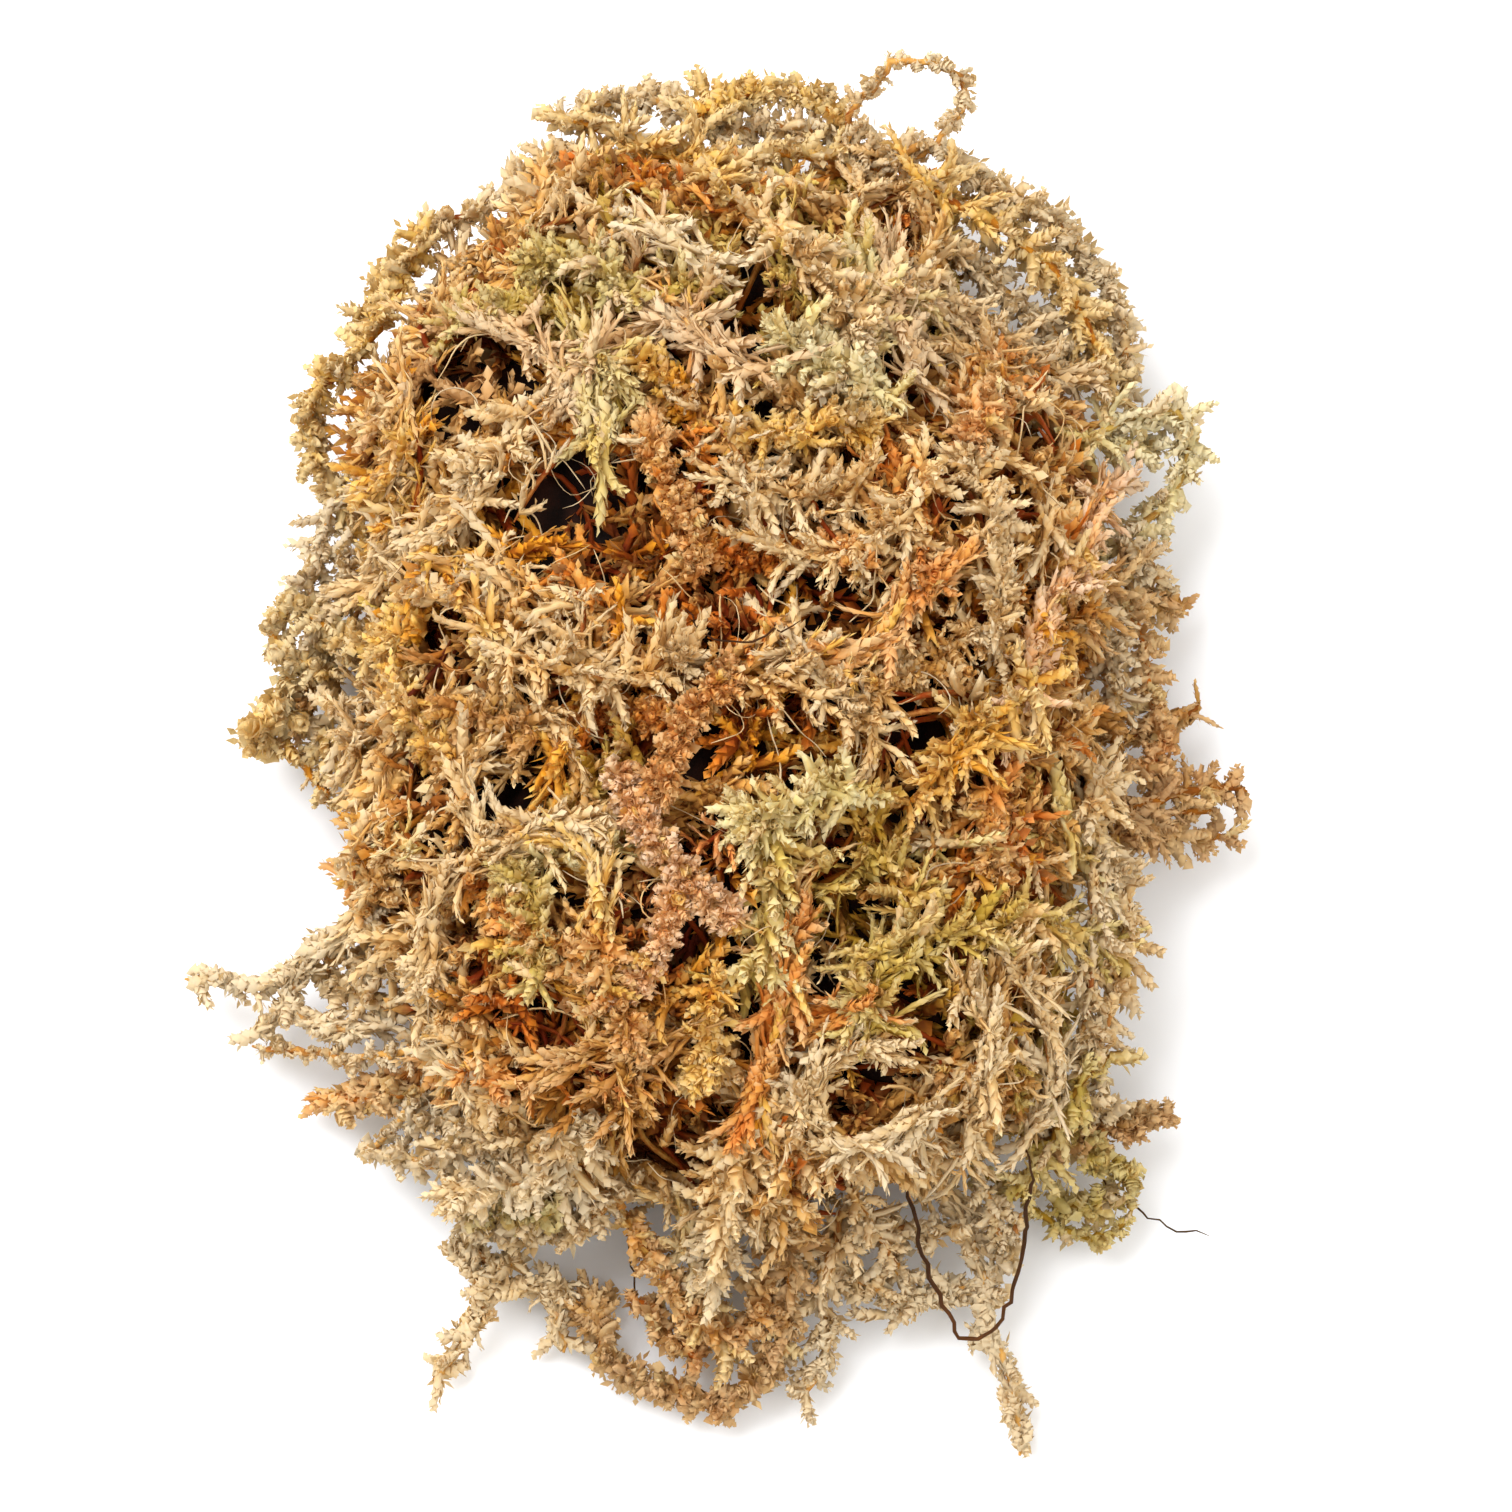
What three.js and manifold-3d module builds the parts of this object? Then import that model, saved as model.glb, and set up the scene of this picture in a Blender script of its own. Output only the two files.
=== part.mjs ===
// A clump of dried sphagnum moss: a matted heart with short branches standing out of it,
// and the leafy strands that lie over it, round it and out past its edge.
// Millimetres, +Z up. The flat spot that the clump rests on is centred on the origin.

import * as THREE from "three";
import { mergeVertices } from "three/addons/utils/BufferGeometryUtils.js";
import Module from "manifold-3d";

const wasm = await Module();
wasm.setup();

// ---------------------------------------------------------------- sizes

// The heart is a squared-off ellipsoid that bulges more above its middle than below it. Its skin
// has broad lumps, and furrows between the strands that are matted into it.
const heart = {
  halfWidth: 55,
  halfLength: 79,
  middle: 17,
  rise: 30,
  drop: 18,
  squareness: 2.4,
  lumps: 0.06,
  furrows: 3,
  smoothBelow: 5,
  facets: 10,
  branches: 190,
  rootDepth: 0.8,
};

const clearance = 0.35; // least gap between two strands
const skinGap = 0.25; // and between a strand and the heart's skin, which the furrows lie under
const seat = 0.6; // a three-sided stem lies on a flat side, this share of its radius from its middle
const floorGap = 0.4; // what hangs low stays this far above the surface
const tries = 12; // how often a branch or a runner that would touch something is drawn again

const stem = { radius: 1.15, endRadius: 0.7, step: 5 };
const root = { radius: 0.55, endRadius: 0.4, step: 6 };
const branch = { length: 9, belly: 0.95, bellyAt: 0.36, every: 4.4, bow: [-0.35, 0.2] };
const head = { length: 6.5, neck: 1.7 };

// A runner is a side stem that leaves a strand and wanders over the heart.
const runner = { each: 2, pieces: 6, step: 6, radius: 1, endRadius: 0.6, mostLift: 7, every: 6.5 };

// ---------------------------------------------------------------- colours

const tints = {
  heart: { color: 0x8a5a33, roughness: 0.95 },
  cream: { color: 0xe6d6ad, roughness: 0.9 },
  straw: { color: 0xd2b080, roughness: 0.9 },
  pale_green: { color: 0xc6c088, roughness: 0.9 },
  olive: { color: 0xa38c42, roughness: 0.9 },
  gold: { color: 0xc8943f, roughness: 0.9 },
  rust: { color: 0xb2692f, roughness: 0.92 },
  pink: { color: 0xc48c66, roughness: 0.92 },
  mauve: { color: 0xa68c7c, roughness: 0.92 },
  brown: { color: 0x7d4f2c, roughness: 0.95 },
  root: { color: 0x40200f, roughness: 0.85 },
};

const materials = Object.fromEntries(
  Object.entries(tints).map(([name, look]) => [
    name,
    new THREE.MeshStandardMaterial({ name, metalness: 0, ...look }),
  ]),
);

// ---------------------------------------------------------------- strands

// Each strand is a stem along a route, then its side branches. A point [x, y] lies on the top of
// the heart, and a point [x, y, z] is free, or on the heart's skin if it would be inside it.
// "head" names the end that carries a head of short branches. "forks" are stems that leave it.
const strandPlan = [
  // the far edge
  {
    name: "north_east_loop",
    tint: "straw",
    route: [[20, 72], [18, 81, 24], [19, 87, 27], [22, 90, 30], [26, 93, 33], [31, 92, 35],
      [35, 91, 34], [36, 87, 32], [32, 82, 28], [26, 78, 25]],
    every: 7,
  },
  {
    name: "north_rim",
    tint: "gold",
    route: [[-27, 88, 20], [-19, 86, 21], [-12, 81, 24], [-6, 77, 24], [0, 70]],
    forks: [[[-6, 77, 24], [-4, 86, 24], [-4, 95, 20]]],
  },
  {
    name: "west_gold_rim",
    tint: "gold",
    route: [[-46, 71, 20], [-51, 60, 20], [-57, 50, 19], [-63, 46, 17], [-64, 39, 15], [-61, 32, 13],
      [-56, 25, 12], [-50, 20, 13]],
  },
  { name: "olive_rosette", tint: "olive", route: [[-27, 60], [-19, 59], [-14, 53]], head: "start" },
  { name: "olive_wave", tint: "olive", route: [[-23, 50], [-21, 43], [-20, 36], [-18, 27]] },
  { name: "lilac_wedge", tint: "mauve", route: [[-36, 51], [-31, 48], [-24, 40], [-27, 33]] },
  { name: "cream_north", tint: "cream", route: [[5, 67], [10, 60], [16, 54], [18, 48]], head: "end" },
  { name: "cream_mid", tint: "pale_green", route: [[9, 46], [16, 41], [25, 38]], head: "start" },
  { name: "gold_rosette", tint: "gold", route: [[10, 31], [14, 34], [19, 33]], head: "end" },
  { name: "stem_fall", tint: "mauve", route: [[23, 63], [25, 56], [26, 46], [29, 40]] },
  { name: "east_straw", tint: "straw", route: [[30, 57], [36, 53], [42, 50], [50, 47, 22], [57, 46, 20]] },
  { name: "orange_east", tint: "rust", route: [[43, 42, 30], [39, 38], [36, 32]], head: "end" },

  // the right side
  { name: "tan_patch", tint: "straw", route: [[36, 27], [39, 18], [40, 8], [39, -1]], head: "start" },
  {
    name: "east_arc",
    tint: "pink",
    route: [[58, 30, 20], [53, 24, 26], [50, 17, 28], [47, 8], [42, -8]],
  },
  {
    name: "east_fan",
    tint: "pale_green",
    route: [[50, 34, 22], [56, 38, 21], [63, 41, 20], [70, 41, 18], [69, 33, 15], [64, 26, 14],
      [54, 20, 14]],
    every: 3.6,
  },
  { name: "east_point", tint: "brown", route: [[50, 14, 18], [57, 17, 15], [63, 16, 12], [69, 13, 8]] },
  { name: "east_flag", tint: "brown", route: [[48, -3, 18], [57, -7, 16], [65, -6, 12], [72, -1, 10]] },
  { name: "east_cream", tint: "cream", route: [[52, -14, 24], [53, -21, 24], [56, -28, 20]], head: "end" },
  {
    name: "east_spray",
    tint: "brown",
    route: [[50, -20, 16], [59, -19, 15], [67, -17, 14], [74, -15, 12], [79, -15, 10]],
    forks: [[[59, -19, 15], [66, -22, 12], [76, -22, 8]]],
  },
  { name: "east_leafy", tint: "olive", route: [[58, -57, 18], [52, -62, 20], [49, -70, 17], [43, -78, 14]] },

  // the middle
  { name: "rust_column", tint: "rust", route: [[-11, 30], [-9, 23], [-6, 17], [-5, 9]], head: "start" },
  { name: "tan_rope", tint: "straw", route: [[-59, 12, 18], [-50, 16, 25], [-42, 20], [-34, 24]] },
  { name: "cream_twig", tint: "cream", route: [[29, 28], [28, 21], [21, 15], [9, 13], [3, 17]] },
  { name: "rust_bow", tint: "rust", route: [[33, 11], [27, 7], [23, 0], [14, -4]] },
  { name: "straw_sweep", tint: "straw", route: [[-35, 0], [-26, -3], [-16, -6], [-8, -3]], head: "end" },
  { name: "rust_tuft", tint: "rust", route: [[2, -5], [-5, -12], [-9, -21]], head: "end" },
  { name: "pink_column", tint: "pink", route: [[-16, -19], [-13, -27], [-7, -34], [1, -42]], radius: 1.5 },
  { name: "gold_diagonal", tint: "gold", route: [[45, -4], [39, -10], [32, -17], [26, -25]] },
  { name: "star_green", tint: "pale_green", route: [[4, -27], [11, -24], [19, -22]], head: "start" },
  {
    name: "straw_river",
    tint: "straw",
    route: [[-20, -28], [-28, -28], [-36, -32], [-43, -38], [-43, -46]],
    head: "end",
  },
  { name: "olive_tuft", tint: "olive", route: [[-30, -36], [-28, -43], [-28, -51]], head: "start" },
  { name: "rust_knot", tint: "rust", route: [[-19, -43], [-18, -50], [-15, -56]], head: "end" },
  { name: "twisted_rope", tint: "brown", route: [[-27, -62], [-20, -60], [-12, -60], [-5, -57]] },
  {
    name: "olive_river",
    tint: "olive",
    route: [[20, -46], [29, -44], [37, -42], [45, -39], [53, -40, 22], [60, -42, 18]],
    forks: [[[22, -46], [19, -51], [22, -55]]],
  },
  {
    name: "east_strand_low",
    tint: "cream",
    route: [[41, -45], [46, -52, 28], [48, -62, 24], [44, -71, 20]],
  },
  {
    name: "big_curl",
    tint: "cream",
    route: [[23, -59], [16, -60], [12, -66], [16, -72], [25, -71], [31, -65]],
  },
  { name: "rust_seam", tint: "rust", route: [[10, -42], [8, -51], [6, -60], [3, -69]] },

  // the left side
  {
    name: "west_loop",
    tint: "gold",
    route: [[-60, 2, 14], [-70, 8, 14], [-66, 12, 17], [-57, 6, 20], [-48, 4]],
  },
  {
    name: "west_straw",
    tint: "straw",
    route: [[-61, -2, 15], [-56, -9, 20], [-52, -17, 24], [-50, -25, 24]],
  },
  {
    name: "west_gold_tuft",
    tint: "gold",
    route: [[-72, -9, 10], [-70, -4, 14], [-64, -5, 10], [-57, -10, 11], [-48, -14, 11]],
    every: 3.6,
  },
  {
    name: "south_west_reach",
    tint: "cream",
    route: [[-82, -43, 6], [-77, -44, 8], [-73, -45, 9], [-65, -43, 12], [-57, -38, 16], [-49, -37, 22]],
    forks: [[[-66, -43, 12], [-67, -49, 9], [-73, -52, 6]], [[-67, -49, 9], [-60, -52, 12], [-50, -52, 14]]],
  },
  {
    name: "brown_point",
    tint: "rust",
    route: [[-61, -62, 6], [-54, -61, 9], [-46, -58, 12], [-40, -52, 16]],
  },
  {
    name: "pale_hook",
    tint: "cream",
    route: [[-55, -70, 8], [-51, -68, 11], [-47, -63, 14], [-42, -58, 18]],
  },

  // the near edge
  {
    name: "cream_fingers",
    tint: "cream",
    route: [[-43, -71, 15], [-36, -70, 20], [-29, -70, 24], [-21, -70]],
    forks: [[[-29, -70, 24], [-34, -76, 18], [-39, -80, 13]], [[-21, -70], [-25, -77, 20], [-31, -83, 14]]],
    every: 3.2,
  },
  {
    name: "south_west_leg",
    tint: "straw",
    route: [[-29, -58, 18], [-33, -71, 12], [-38, -80, 9], [-40, -87, 8], [-35, -91, 7], [-28, -90, 7],
      [-22, -93, 6]],
    forks: [[[-35, -91, 7], [-39, -97, 5], [-44, -104, 4]], [[-28, -90, 7], [-26, -95, 5], [-25, -100, 4]]],
  },
  {
    name: "south_stray",
    tint: "brown",
    route: [[-20, -95, 5], [-18, -101, 5], [-13, -105, 5], [-7, -106, 5], [-2, -109, 5], [3, -105, 6],
      [8, -99, 9], [9, -90, 13], [8, -80, 15], [8, -70, 12]],
    head: "start",
  },
  {
    name: "cream_fall",
    tint: "cream",
    route: [[2, -72], [0, -80, 25], [-1, -87, 20], [-3, -93, 15]],
    radius: 1.4,
  },
  {
    name: "south_tassel",
    tint: "straw",
    route: [[17, -67, 18], [16, -84, 13], [14, -92, 10], [15, -100, 7], [11, -107, 5]],
    every: 3.6,
  },
  {
    name: "south_tip",
    tint: "straw",
    route: [[28, -61, 14], [31, -72, 11], [35, -82, 9], [39, -90, 8], [38, -97, 6], [42, -102, 5],
      [43, -108, 4], [44, -115, 3]],
    forks: [[[39, -90, 8], [31, -92, 7], [23, -95, 6]]],
    every: 3.6,
  },
  {
    name: "dark_loop",
    tint: "root",
    kind: "root",
    route: [[24, -72, 24], [27, -79, 20], [29, -87, 16], [32, -94, 14], [37, -100, 12], [41, -96, 13],
      [44, -87, 15], [44, -79, 18], [42, -70, 20]],
  },
  {
    name: "south_east_brown",
    tint: "brown",
    route: [[36, -57, 15], [44, -67, 14], [50, -70, 13], [57, -67, 11], [67, -65, 9]],
  },
  {
    name: "south_east_curl",
    tint: "olive",
    route: [[27, -62, 10], [36, -71, 8], [44, -77, 8], [51, -82, 6], [57, -83, 6], [61, -78, 7]],
  },
];

// Strands round the lower sides, spaced evenly, each climbing and waving a little as it goes. They
// start at a share of the heart's half width and half length.
const skirt = {
  strands: 7,
  points: 5,
  span: 0.62,
  share: 0.93,
  low: 5,
  high: 12,
  wave: 1.5,
  tints: ["straw", "rust", "olive", "brown"],
};

// ---------------------------------------------------------------- seeded draws

function seeded(seed) {
  let state = seed >>> 0;
  return () => {
    state = (state + 0x6d2b79f5) >>> 0;
    let mixed = Math.imul(state ^ (state >>> 15), 1 | state);
    mixed = (mixed + Math.imul(mixed ^ (mixed >>> 7), 61 | mixed)) ^ mixed;
    return ((mixed ^ (mixed >>> 14)) >>> 0) / 4294967296;
  };
}

const draw = seeded(44);
const between = (low, high) => low + (high - low) * draw();

// ---------------------------------------------------------------- the heart's skin

const up = new THREE.Vector3(0, 0, 1);

function lump(x, y) {
  const broad = Math.sin(0.11 * x + 1) * Math.cos(0.09 * y + 2);
  const slanted = 0.6 * Math.sin(0.05 * x - 0.07 * y + 0.5);
  return heart.lumps * (broad + slanted);
}

// How deep a furrow is at a point of the skin. The ridges between them wind and cross like strands
// pressed together, and fade out towards the flat spot.
function furrow({ x, y, z }) {
  const winding = Math.sin(0.3 * x + 1.6 * Math.sin(0.09 * y + 0.06 * z));
  const crossing = Math.sin(0.24 * y + 0.26 * z + 1.8 * Math.sin(0.1 * x + 1));
  const hollow = 1 - Math.max(Math.abs(winding), Math.abs(crossing)) ** 3;
  return heart.furrows * hollow * Math.min(Math.max(z / heart.smoothBelow, 0), 1);
}

// Zero on the heart's skin, under zero inside it.
function skinLevel({ x, y, z }) {
  const across = Math.abs(x / heart.halfWidth) ** heart.squareness;
  const along = Math.abs(y / heart.halfLength) ** heart.squareness;
  const reach = z > heart.middle ? heart.rise : heart.drop;
  const tall = Math.abs((z - heart.middle) / reach) ** heart.squareness;
  return (across + along + tall) ** (1 / heart.squareness) - 1 - lump(x, y);
}

function skinSlope(p) {
  const nudge = 0.5;
  const slope = (axis) => {
    const ahead = p.clone();
    const behind = p.clone();
    ahead[axis] += nudge;
    behind[axis] -= nudge;
    return (skinLevel(ahead) - skinLevel(behind)) / (2 * nudge);
  };
  return new THREE.Vector3(slope("x"), slope("y"), slope("z"));
}

const skinDistance = (p) => skinLevel(p) / skinSlope(p).length();

// Moves a point out of the heart until a rod of some radius would lie clear of it and the floor.
function pushedOut(p, radius) {
  const out = p.clone();
  const lowest = radius + floorGap;
  for (let pass = 0; pass < 8; pass++) {
    out.z = Math.max(out.z, lowest);
    const slope = skinSlope(out);
    const short = seat * radius + skinGap - skinLevel(out) / slope.length();
    if (short < 0) break;
    const way = slope.normalize().clone();
    if (out.z < lowest + 0.1 && way.z < 0) way.setZ(0).normalize();
    out.addScaledVector(way, short / way.dot(slope));
  }
  return out.setZ(Math.max(out.z, lowest));
}

// The nearest point at a given height off the skin.
function offSkin(p, gap) {
  const at = p.clone();
  for (let pass = 0; pass < 5; pass++) {
    const slope = skinSlope(at);
    const short = gap - skinLevel(at) / slope.length();
    at.addScaledVector(slope.normalize(), short);
  }
  return at;
}

function onTop(x, y) {
  const p = new THREE.Vector3(x, y, heart.middle + heart.rise);
  for (let pass = 0; pass < 12; pass++) p.z -= skinLevel(p) * heart.rise * 0.7;
  p.z = Math.max(p.z, heart.middle);
  return p;
}

// ---------------------------------------------------------------- keeping clear

// Least distance between the segments a-b and c-d.
function segmentGap(a, b, c, d) {
  const ab = b.clone().sub(a);
  const cd = d.clone().sub(c);
  const ca = a.clone().sub(c);
  const abab = ab.dot(ab);
  const cdcd = cd.dot(cd);
  const abcd = ab.dot(cd);
  const abca = ab.dot(ca);
  const cdca = cd.dot(ca);
  const spread = abab * cdcd - abcd * abcd;
  const clamp = (v) => Math.min(Math.max(v, 0), 1);
  let s = spread > 1e-9 ? clamp((abcd * cdca - abca * cdcd) / spread) : 0.5;
  const t = clamp((abcd * s + cdca) / cdcd);
  s = clamp((abcd * t - abca) / abab);
  return ca.addScaledVector(ab, s).addScaledVector(cd, -t).length();
}

// Every placed piece of a limb: a segment with a radius, its limb, and its number along the limb.
// A limb is a stem or a branch, and knows the limb and the piece that it grows out of.
const placed = [];

function nearRoot(limb, other) {
  const onParent = other.limb === limb.parent && Math.abs(other.number - limb.piece) <= 1;
  const sibling = limb.parent && other.limb.parent === limb.parent && other.number === 0;
  return onParent || sibling;
}

// Whether piece "number" of a limb, from a to b, lies clear. By its root a limb may touch its parent.
function isClear(a, b, radius, limb, number) {
  const middle = a.clone().add(b).multiplyScalar(0.5);
  const reach = a.distanceTo(b) / 2 + radius + clearance;
  return placed.every((other) => {
    if (middle.distanceTo(other.middle) > reach + other.reach) return true;
    if (number === 0 && nearRoot(limb, other)) return true;
    return segmentGap(a, b, other.a, other.b) >= radius + other.radius + clearance;
  });
}

function place(rings, radius, limb) {
  for (let number = 0; number + 1 < rings.length; number++) {
    const [a, b] = [rings[number], rings[number + 1]];
    const middle = a.clone().add(b).multiplyScalar(0.5);
    placed.push({ a, b, radius, limb, number, middle, reach: a.distanceTo(b) / 2 + radius });
  }
}

// Which way a stem is lifted over another: away from the heart and up.
function liftWay(p) {
  const out = skinSlope(p).normalize();
  return out.setZ(out.z < -0.1 ? 0 : out.z + 0.6).normalize();
}

// A stem piece also stays off the heart between its rings.
function offHeart(a, b, radius) {
  return [0.25, 0.5, 0.75].every((t) => skinDistance(a.clone().lerp(b, t)) > seat * radius);
}

// ---------------------------------------------------------------- routes

// The rings of a stem along a route. What would run deep inside the heart is left out.
function laidAlong(route, radius, step) {
  const deepest = 1.5;
  const points = route.map(([x, y, z]) => (z === undefined ? onTop(x, y) : new THREE.Vector3(x, y, z)));
  const curve = new THREE.CatmullRomCurve3(points, false, "centripetal");
  const fine = curve.getSpacedPoints(Math.ceil(curve.getLength()));
  const outside = fine.filter((p) => skinDistance(p) > -deepest).map((p) => pushedOut(p, radius));
  const laid = new THREE.CatmullRomCurve3(outside, false, "centripetal");
  const pieces = Math.max(2, Math.round(laid.getLength() / step));
  return laid.getSpacedPoints(pieces).map((p) => pushedOut(p, radius));
}

// Raises a stem over what is already placed, in an arch of at most mostRise for each piece. The
// first ring of a stem that grows out of another stays where it is.
function liftedClear(rings, radius, limb) {
  const mostRise = 2.4;
  const lifts = rings.map(() => 0);
  const ways = rings.map(liftWay);
  const lifted = () => rings.map((p, i) => p.clone().addScaledVector(ways[i], lifts[i]));
  for (let pass = 0; pass < 60; pass++) {
    const now = lifted();
    let crossed = false;
    for (let i = 0; i + 1 < now.length; i++) {
      const free = isClear(now[i], now[i + 1], radius, limb, i);
      if (free && offHeart(now[i], now[i + 1], radius)) continue;
      crossed = true;
      lifts[i] += 0.3;
      lifts[i + 1] += 0.3;
    }
    for (let i = 1; i < lifts.length; i++) lifts[i] = Math.max(lifts[i], lifts[i - 1] - mostRise);
    for (let i = lifts.length - 2; i >= 0; i--) lifts[i] = Math.max(lifts[i], lifts[i + 1] - mostRise);
    if (limb.parent) lifts[0] = 0;
    if (!crossed) break;
  }
  return lifted();
}

// The first stretch of a stem that lies clear and isn't lifted too far.
function clearStretch(rings, path, radius, limb) {
  let last = 0;
  while (last + 1 < rings.length) {
    if (rings[last + 1].distanceTo(path[last + 1]) > runner.mostLift) break;
    if (!isClear(rings[last], rings[last + 1], radius, limb, last)) break;
    if (last > 0 && !offHeart(rings[last], rings[last + 1], radius)) break;
    last++;
  }
  return rings.slice(0, last + 1);
}

// ---------------------------------------------------------------- crossings

// The triangles of every limb that is built, with a box round each limb.
const built = [];

function boxed(triangles) {
  return { triangles, box: new THREE.Box3().setFromPoints(triangles.flat()) };
}

const ray = new THREE.Ray();
const hit = new THREE.Vector3();

function pierces(p, q, [a, b, c]) {
  ray.origin.copy(p);
  ray.direction.copy(q).sub(p);
  const length = ray.direction.length();
  ray.direction.divideScalar(length);
  return ray.intersectTriangle(a, b, c, false, hit) !== null && hit.distanceTo(p) < length;
}

// Triangles that share an edge don't cross, and one shared corner is no crossing.
function cross(s, t) {
  const shared = s.filter((p) => t.includes(p));
  if (shared.length > 1) return false;
  const apart = ([p, q]) => !shared.includes(p) && !shared.includes(q);
  const edges = (u) => [0, 1, 2].map((k) => [u[k], u[(k + 1) % 3]]).filter(apart);
  return edges(s).some(([p, q]) => pierces(p, q, t)) || edges(t).some(([p, q]) => pierces(p, q, s));
}

function crossesBuilt(limb) {
  const near = (box) => (t) => new THREE.Box3().setFromPoints(t).intersectsBox(box);
  return built.some((other) => {
    if (!other.box.intersectsBox(limb.box)) return false;
    const theirs = other.triangles.filter(near(limb.box));
    const ours = limb.triangles.filter(near(other.box));
    return ours.some((s) => theirs.some((t) => cross(s, t)));
  });
}

// The way a path runs at one of its points.
function headingAt(path, i) {
  const ahead = path[Math.min(i + 1, path.length - 1)];
  const behind = path[Math.max(i - 1, 0)];
  return ahead.clone().sub(behind).normalize();
}

// ---------------------------------------------------------------- the skin of a strand

// A closed skin of triangles that stems and branches grow out of, so that a strand is one body: a
// limb takes the place of one face, and its walls start from that face's three edges.
class Skin {
  corners = [];
  faces = [];

  corner(p) {
    this.corners.push(p);
    return this.corners.length - 1;
  }

  // Three corners round a centre, the first one on the side that "first" points to.
  ring(centre, along, first, radius) {
    const across = first.clone().addScaledVector(along, -first.dot(along)).normalize();
    const third = along.clone().cross(across);
    return [0, 1, 2].map((k) => {
      const turn = (2 * Math.PI * k) / 3;
      const p = centre.clone().addScaledVector(across, radius * Math.cos(turn));
      return this.corner(p.addScaledVector(third, radius * Math.sin(turn)));
    });
  }

  middleOf(face) {
    const [a, b, c] = this.faces[face].map((i) => this.corners[i]);
    return a.clone().add(b).add(c).divideScalar(3);
  }

  normalOf(face) {
    const [a, b, c] = this.faces[face].map((i) => this.corners[i]);
    return b.clone().sub(a).cross(c.clone().sub(a)).normalize();
  }

  // Which way the first corner of a ring over a face should point, for walls without a twist.
  matchedTo(face, along) {
    const middle = this.middleOf(face);
    const sum = new THREE.Vector3();
    this.faces[face].forEach((i, k) => {
      const spoke = this.corners[i].clone().sub(middle);
      spoke.addScaledVector(along, -spoke.dot(along));
      sum.add(spoke.applyAxisAngle(along, (-2 * Math.PI * k) / 3));
    });
    return sum;
  }

  // A limb along a path, with a ring of three corners at each point, or a tip where the radius is
  // 0. It grows out of a face, which the first point lies on, or starts with a closed end. Gives
  // the faces of each piece, and of the closed end last.
  grow(path, radii, face) {
    const pieces = [];
    let last = null;
    let first = null;
    path.forEach((centre, i) => {
      const along = headingAt(path, i);
      if (i === 0 && face !== undefined) {
        last = this.faces[face];
        first = this.matchedTo(face, headingAt(path, 1));
        this.faces[face] = null;
        return;
      }
      if (radii[i] === 0) {
        const tip = this.corner(centre.clone());
        pieces.push(this.add([0, 1, 2].map((k) => [last[k], last[(k + 1) % 3], tip])));
        return;
      }
      const ring = this.ring(centre, along, first ?? liftWay(centre), radii[i]);
      first = this.corners[ring[0]].clone().sub(centre);
      if (i === 0) {
        this.add([[ring[0], ring[2], ring[1]]]);
      } else {
        const wall = (k, next) => [[last[k], last[next], ring[next]], [last[k], ring[next], ring[k]]];
        pieces.push(this.add([0, 1, 2].flatMap((k) => wall(k, (k + 1) % 3))));
      }
      last = ring;
    });
    if (radii.at(-1) > 0) pieces.push(this.add([last]));
    return pieces;
  }

  add(faces) {
    return faces.map((face) => this.faces.push(face) - 1);
  }

  // Grows a limb as above, or takes it back and gives null where it would cross anything built.
  growClear(path, radii, face) {
    const { corners, faces } = this;
    const before = { corners: corners.length, faces: faces.length, face: faces[face] };
    const pieces = this.grow(path, radii, face);
    const made = boxed(faces.slice(before.faces).map((f) => f.map((i) => corners[i])));
    const later = (i) => made.triangles.slice(i + 1);
    const crossesItself = made.triangles.some((s, i) => later(i).some((t) => cross(s, t)));
    if (crossesItself || crossesBuilt(made)) {
      corners.length = before.corners;
      faces.length = before.faces;
      if (face !== undefined) faces[face] = before.face;
      return null;
    }
    built.push(made);
    return pieces;
  }

  solid() {
    return solid(
      new Float32Array(this.corners.flatMap((p) => p.toArray())),
      new Uint32Array(this.faces.filter(Boolean).flat()),
    );
  }
}

function solid(vertProperties, triVerts) {
  return new wasm.Manifold(new wasm.Mesh({ numProp: 3, vertProperties, triVerts }));
}

function meshOf(made, name, tint) {
  const { vertProperties, triVerts } = made.getMesh();
  const geometry = new THREE.BufferGeometry();
  geometry.setAttribute("position", new THREE.BufferAttribute(vertProperties, 3));
  geometry.setIndex(new THREE.BufferAttribute(triVerts, 1));
  geometry.computeVertexNormals();
  const mesh = new THREE.Mesh(geometry, materials[tint]);
  mesh.name = name;
  return mesh;
}

// ---------------------------------------------------------------- branches

// The three points of a bowed branch, or null where it would touch another piece or the surface.
function branchPath(foot, way, bow, length, limb, offSkinBy) {
  const belly = foot.clone().addScaledVector(way, branch.bellyAt * length);
  const bent = way.clone().addScaledVector(bow, between(...branch.bow)).normalize();
  const tip = belly.clone().addScaledVector(bent, (1 - branch.bellyAt) * length);
  if (Math.min(belly.z - branch.belly, tip.z) < floorGap) return null;
  if (skinDistance(belly) < branch.belly + offSkinBy || skinDistance(tip) < clearance) return null;
  if (!isClear(foot, belly, branch.belly, limb, 0)) return null;
  if (!isClear(belly, tip, branch.belly, limb, 1)) return null;
  return [foot, belly, tip];
}

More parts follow.
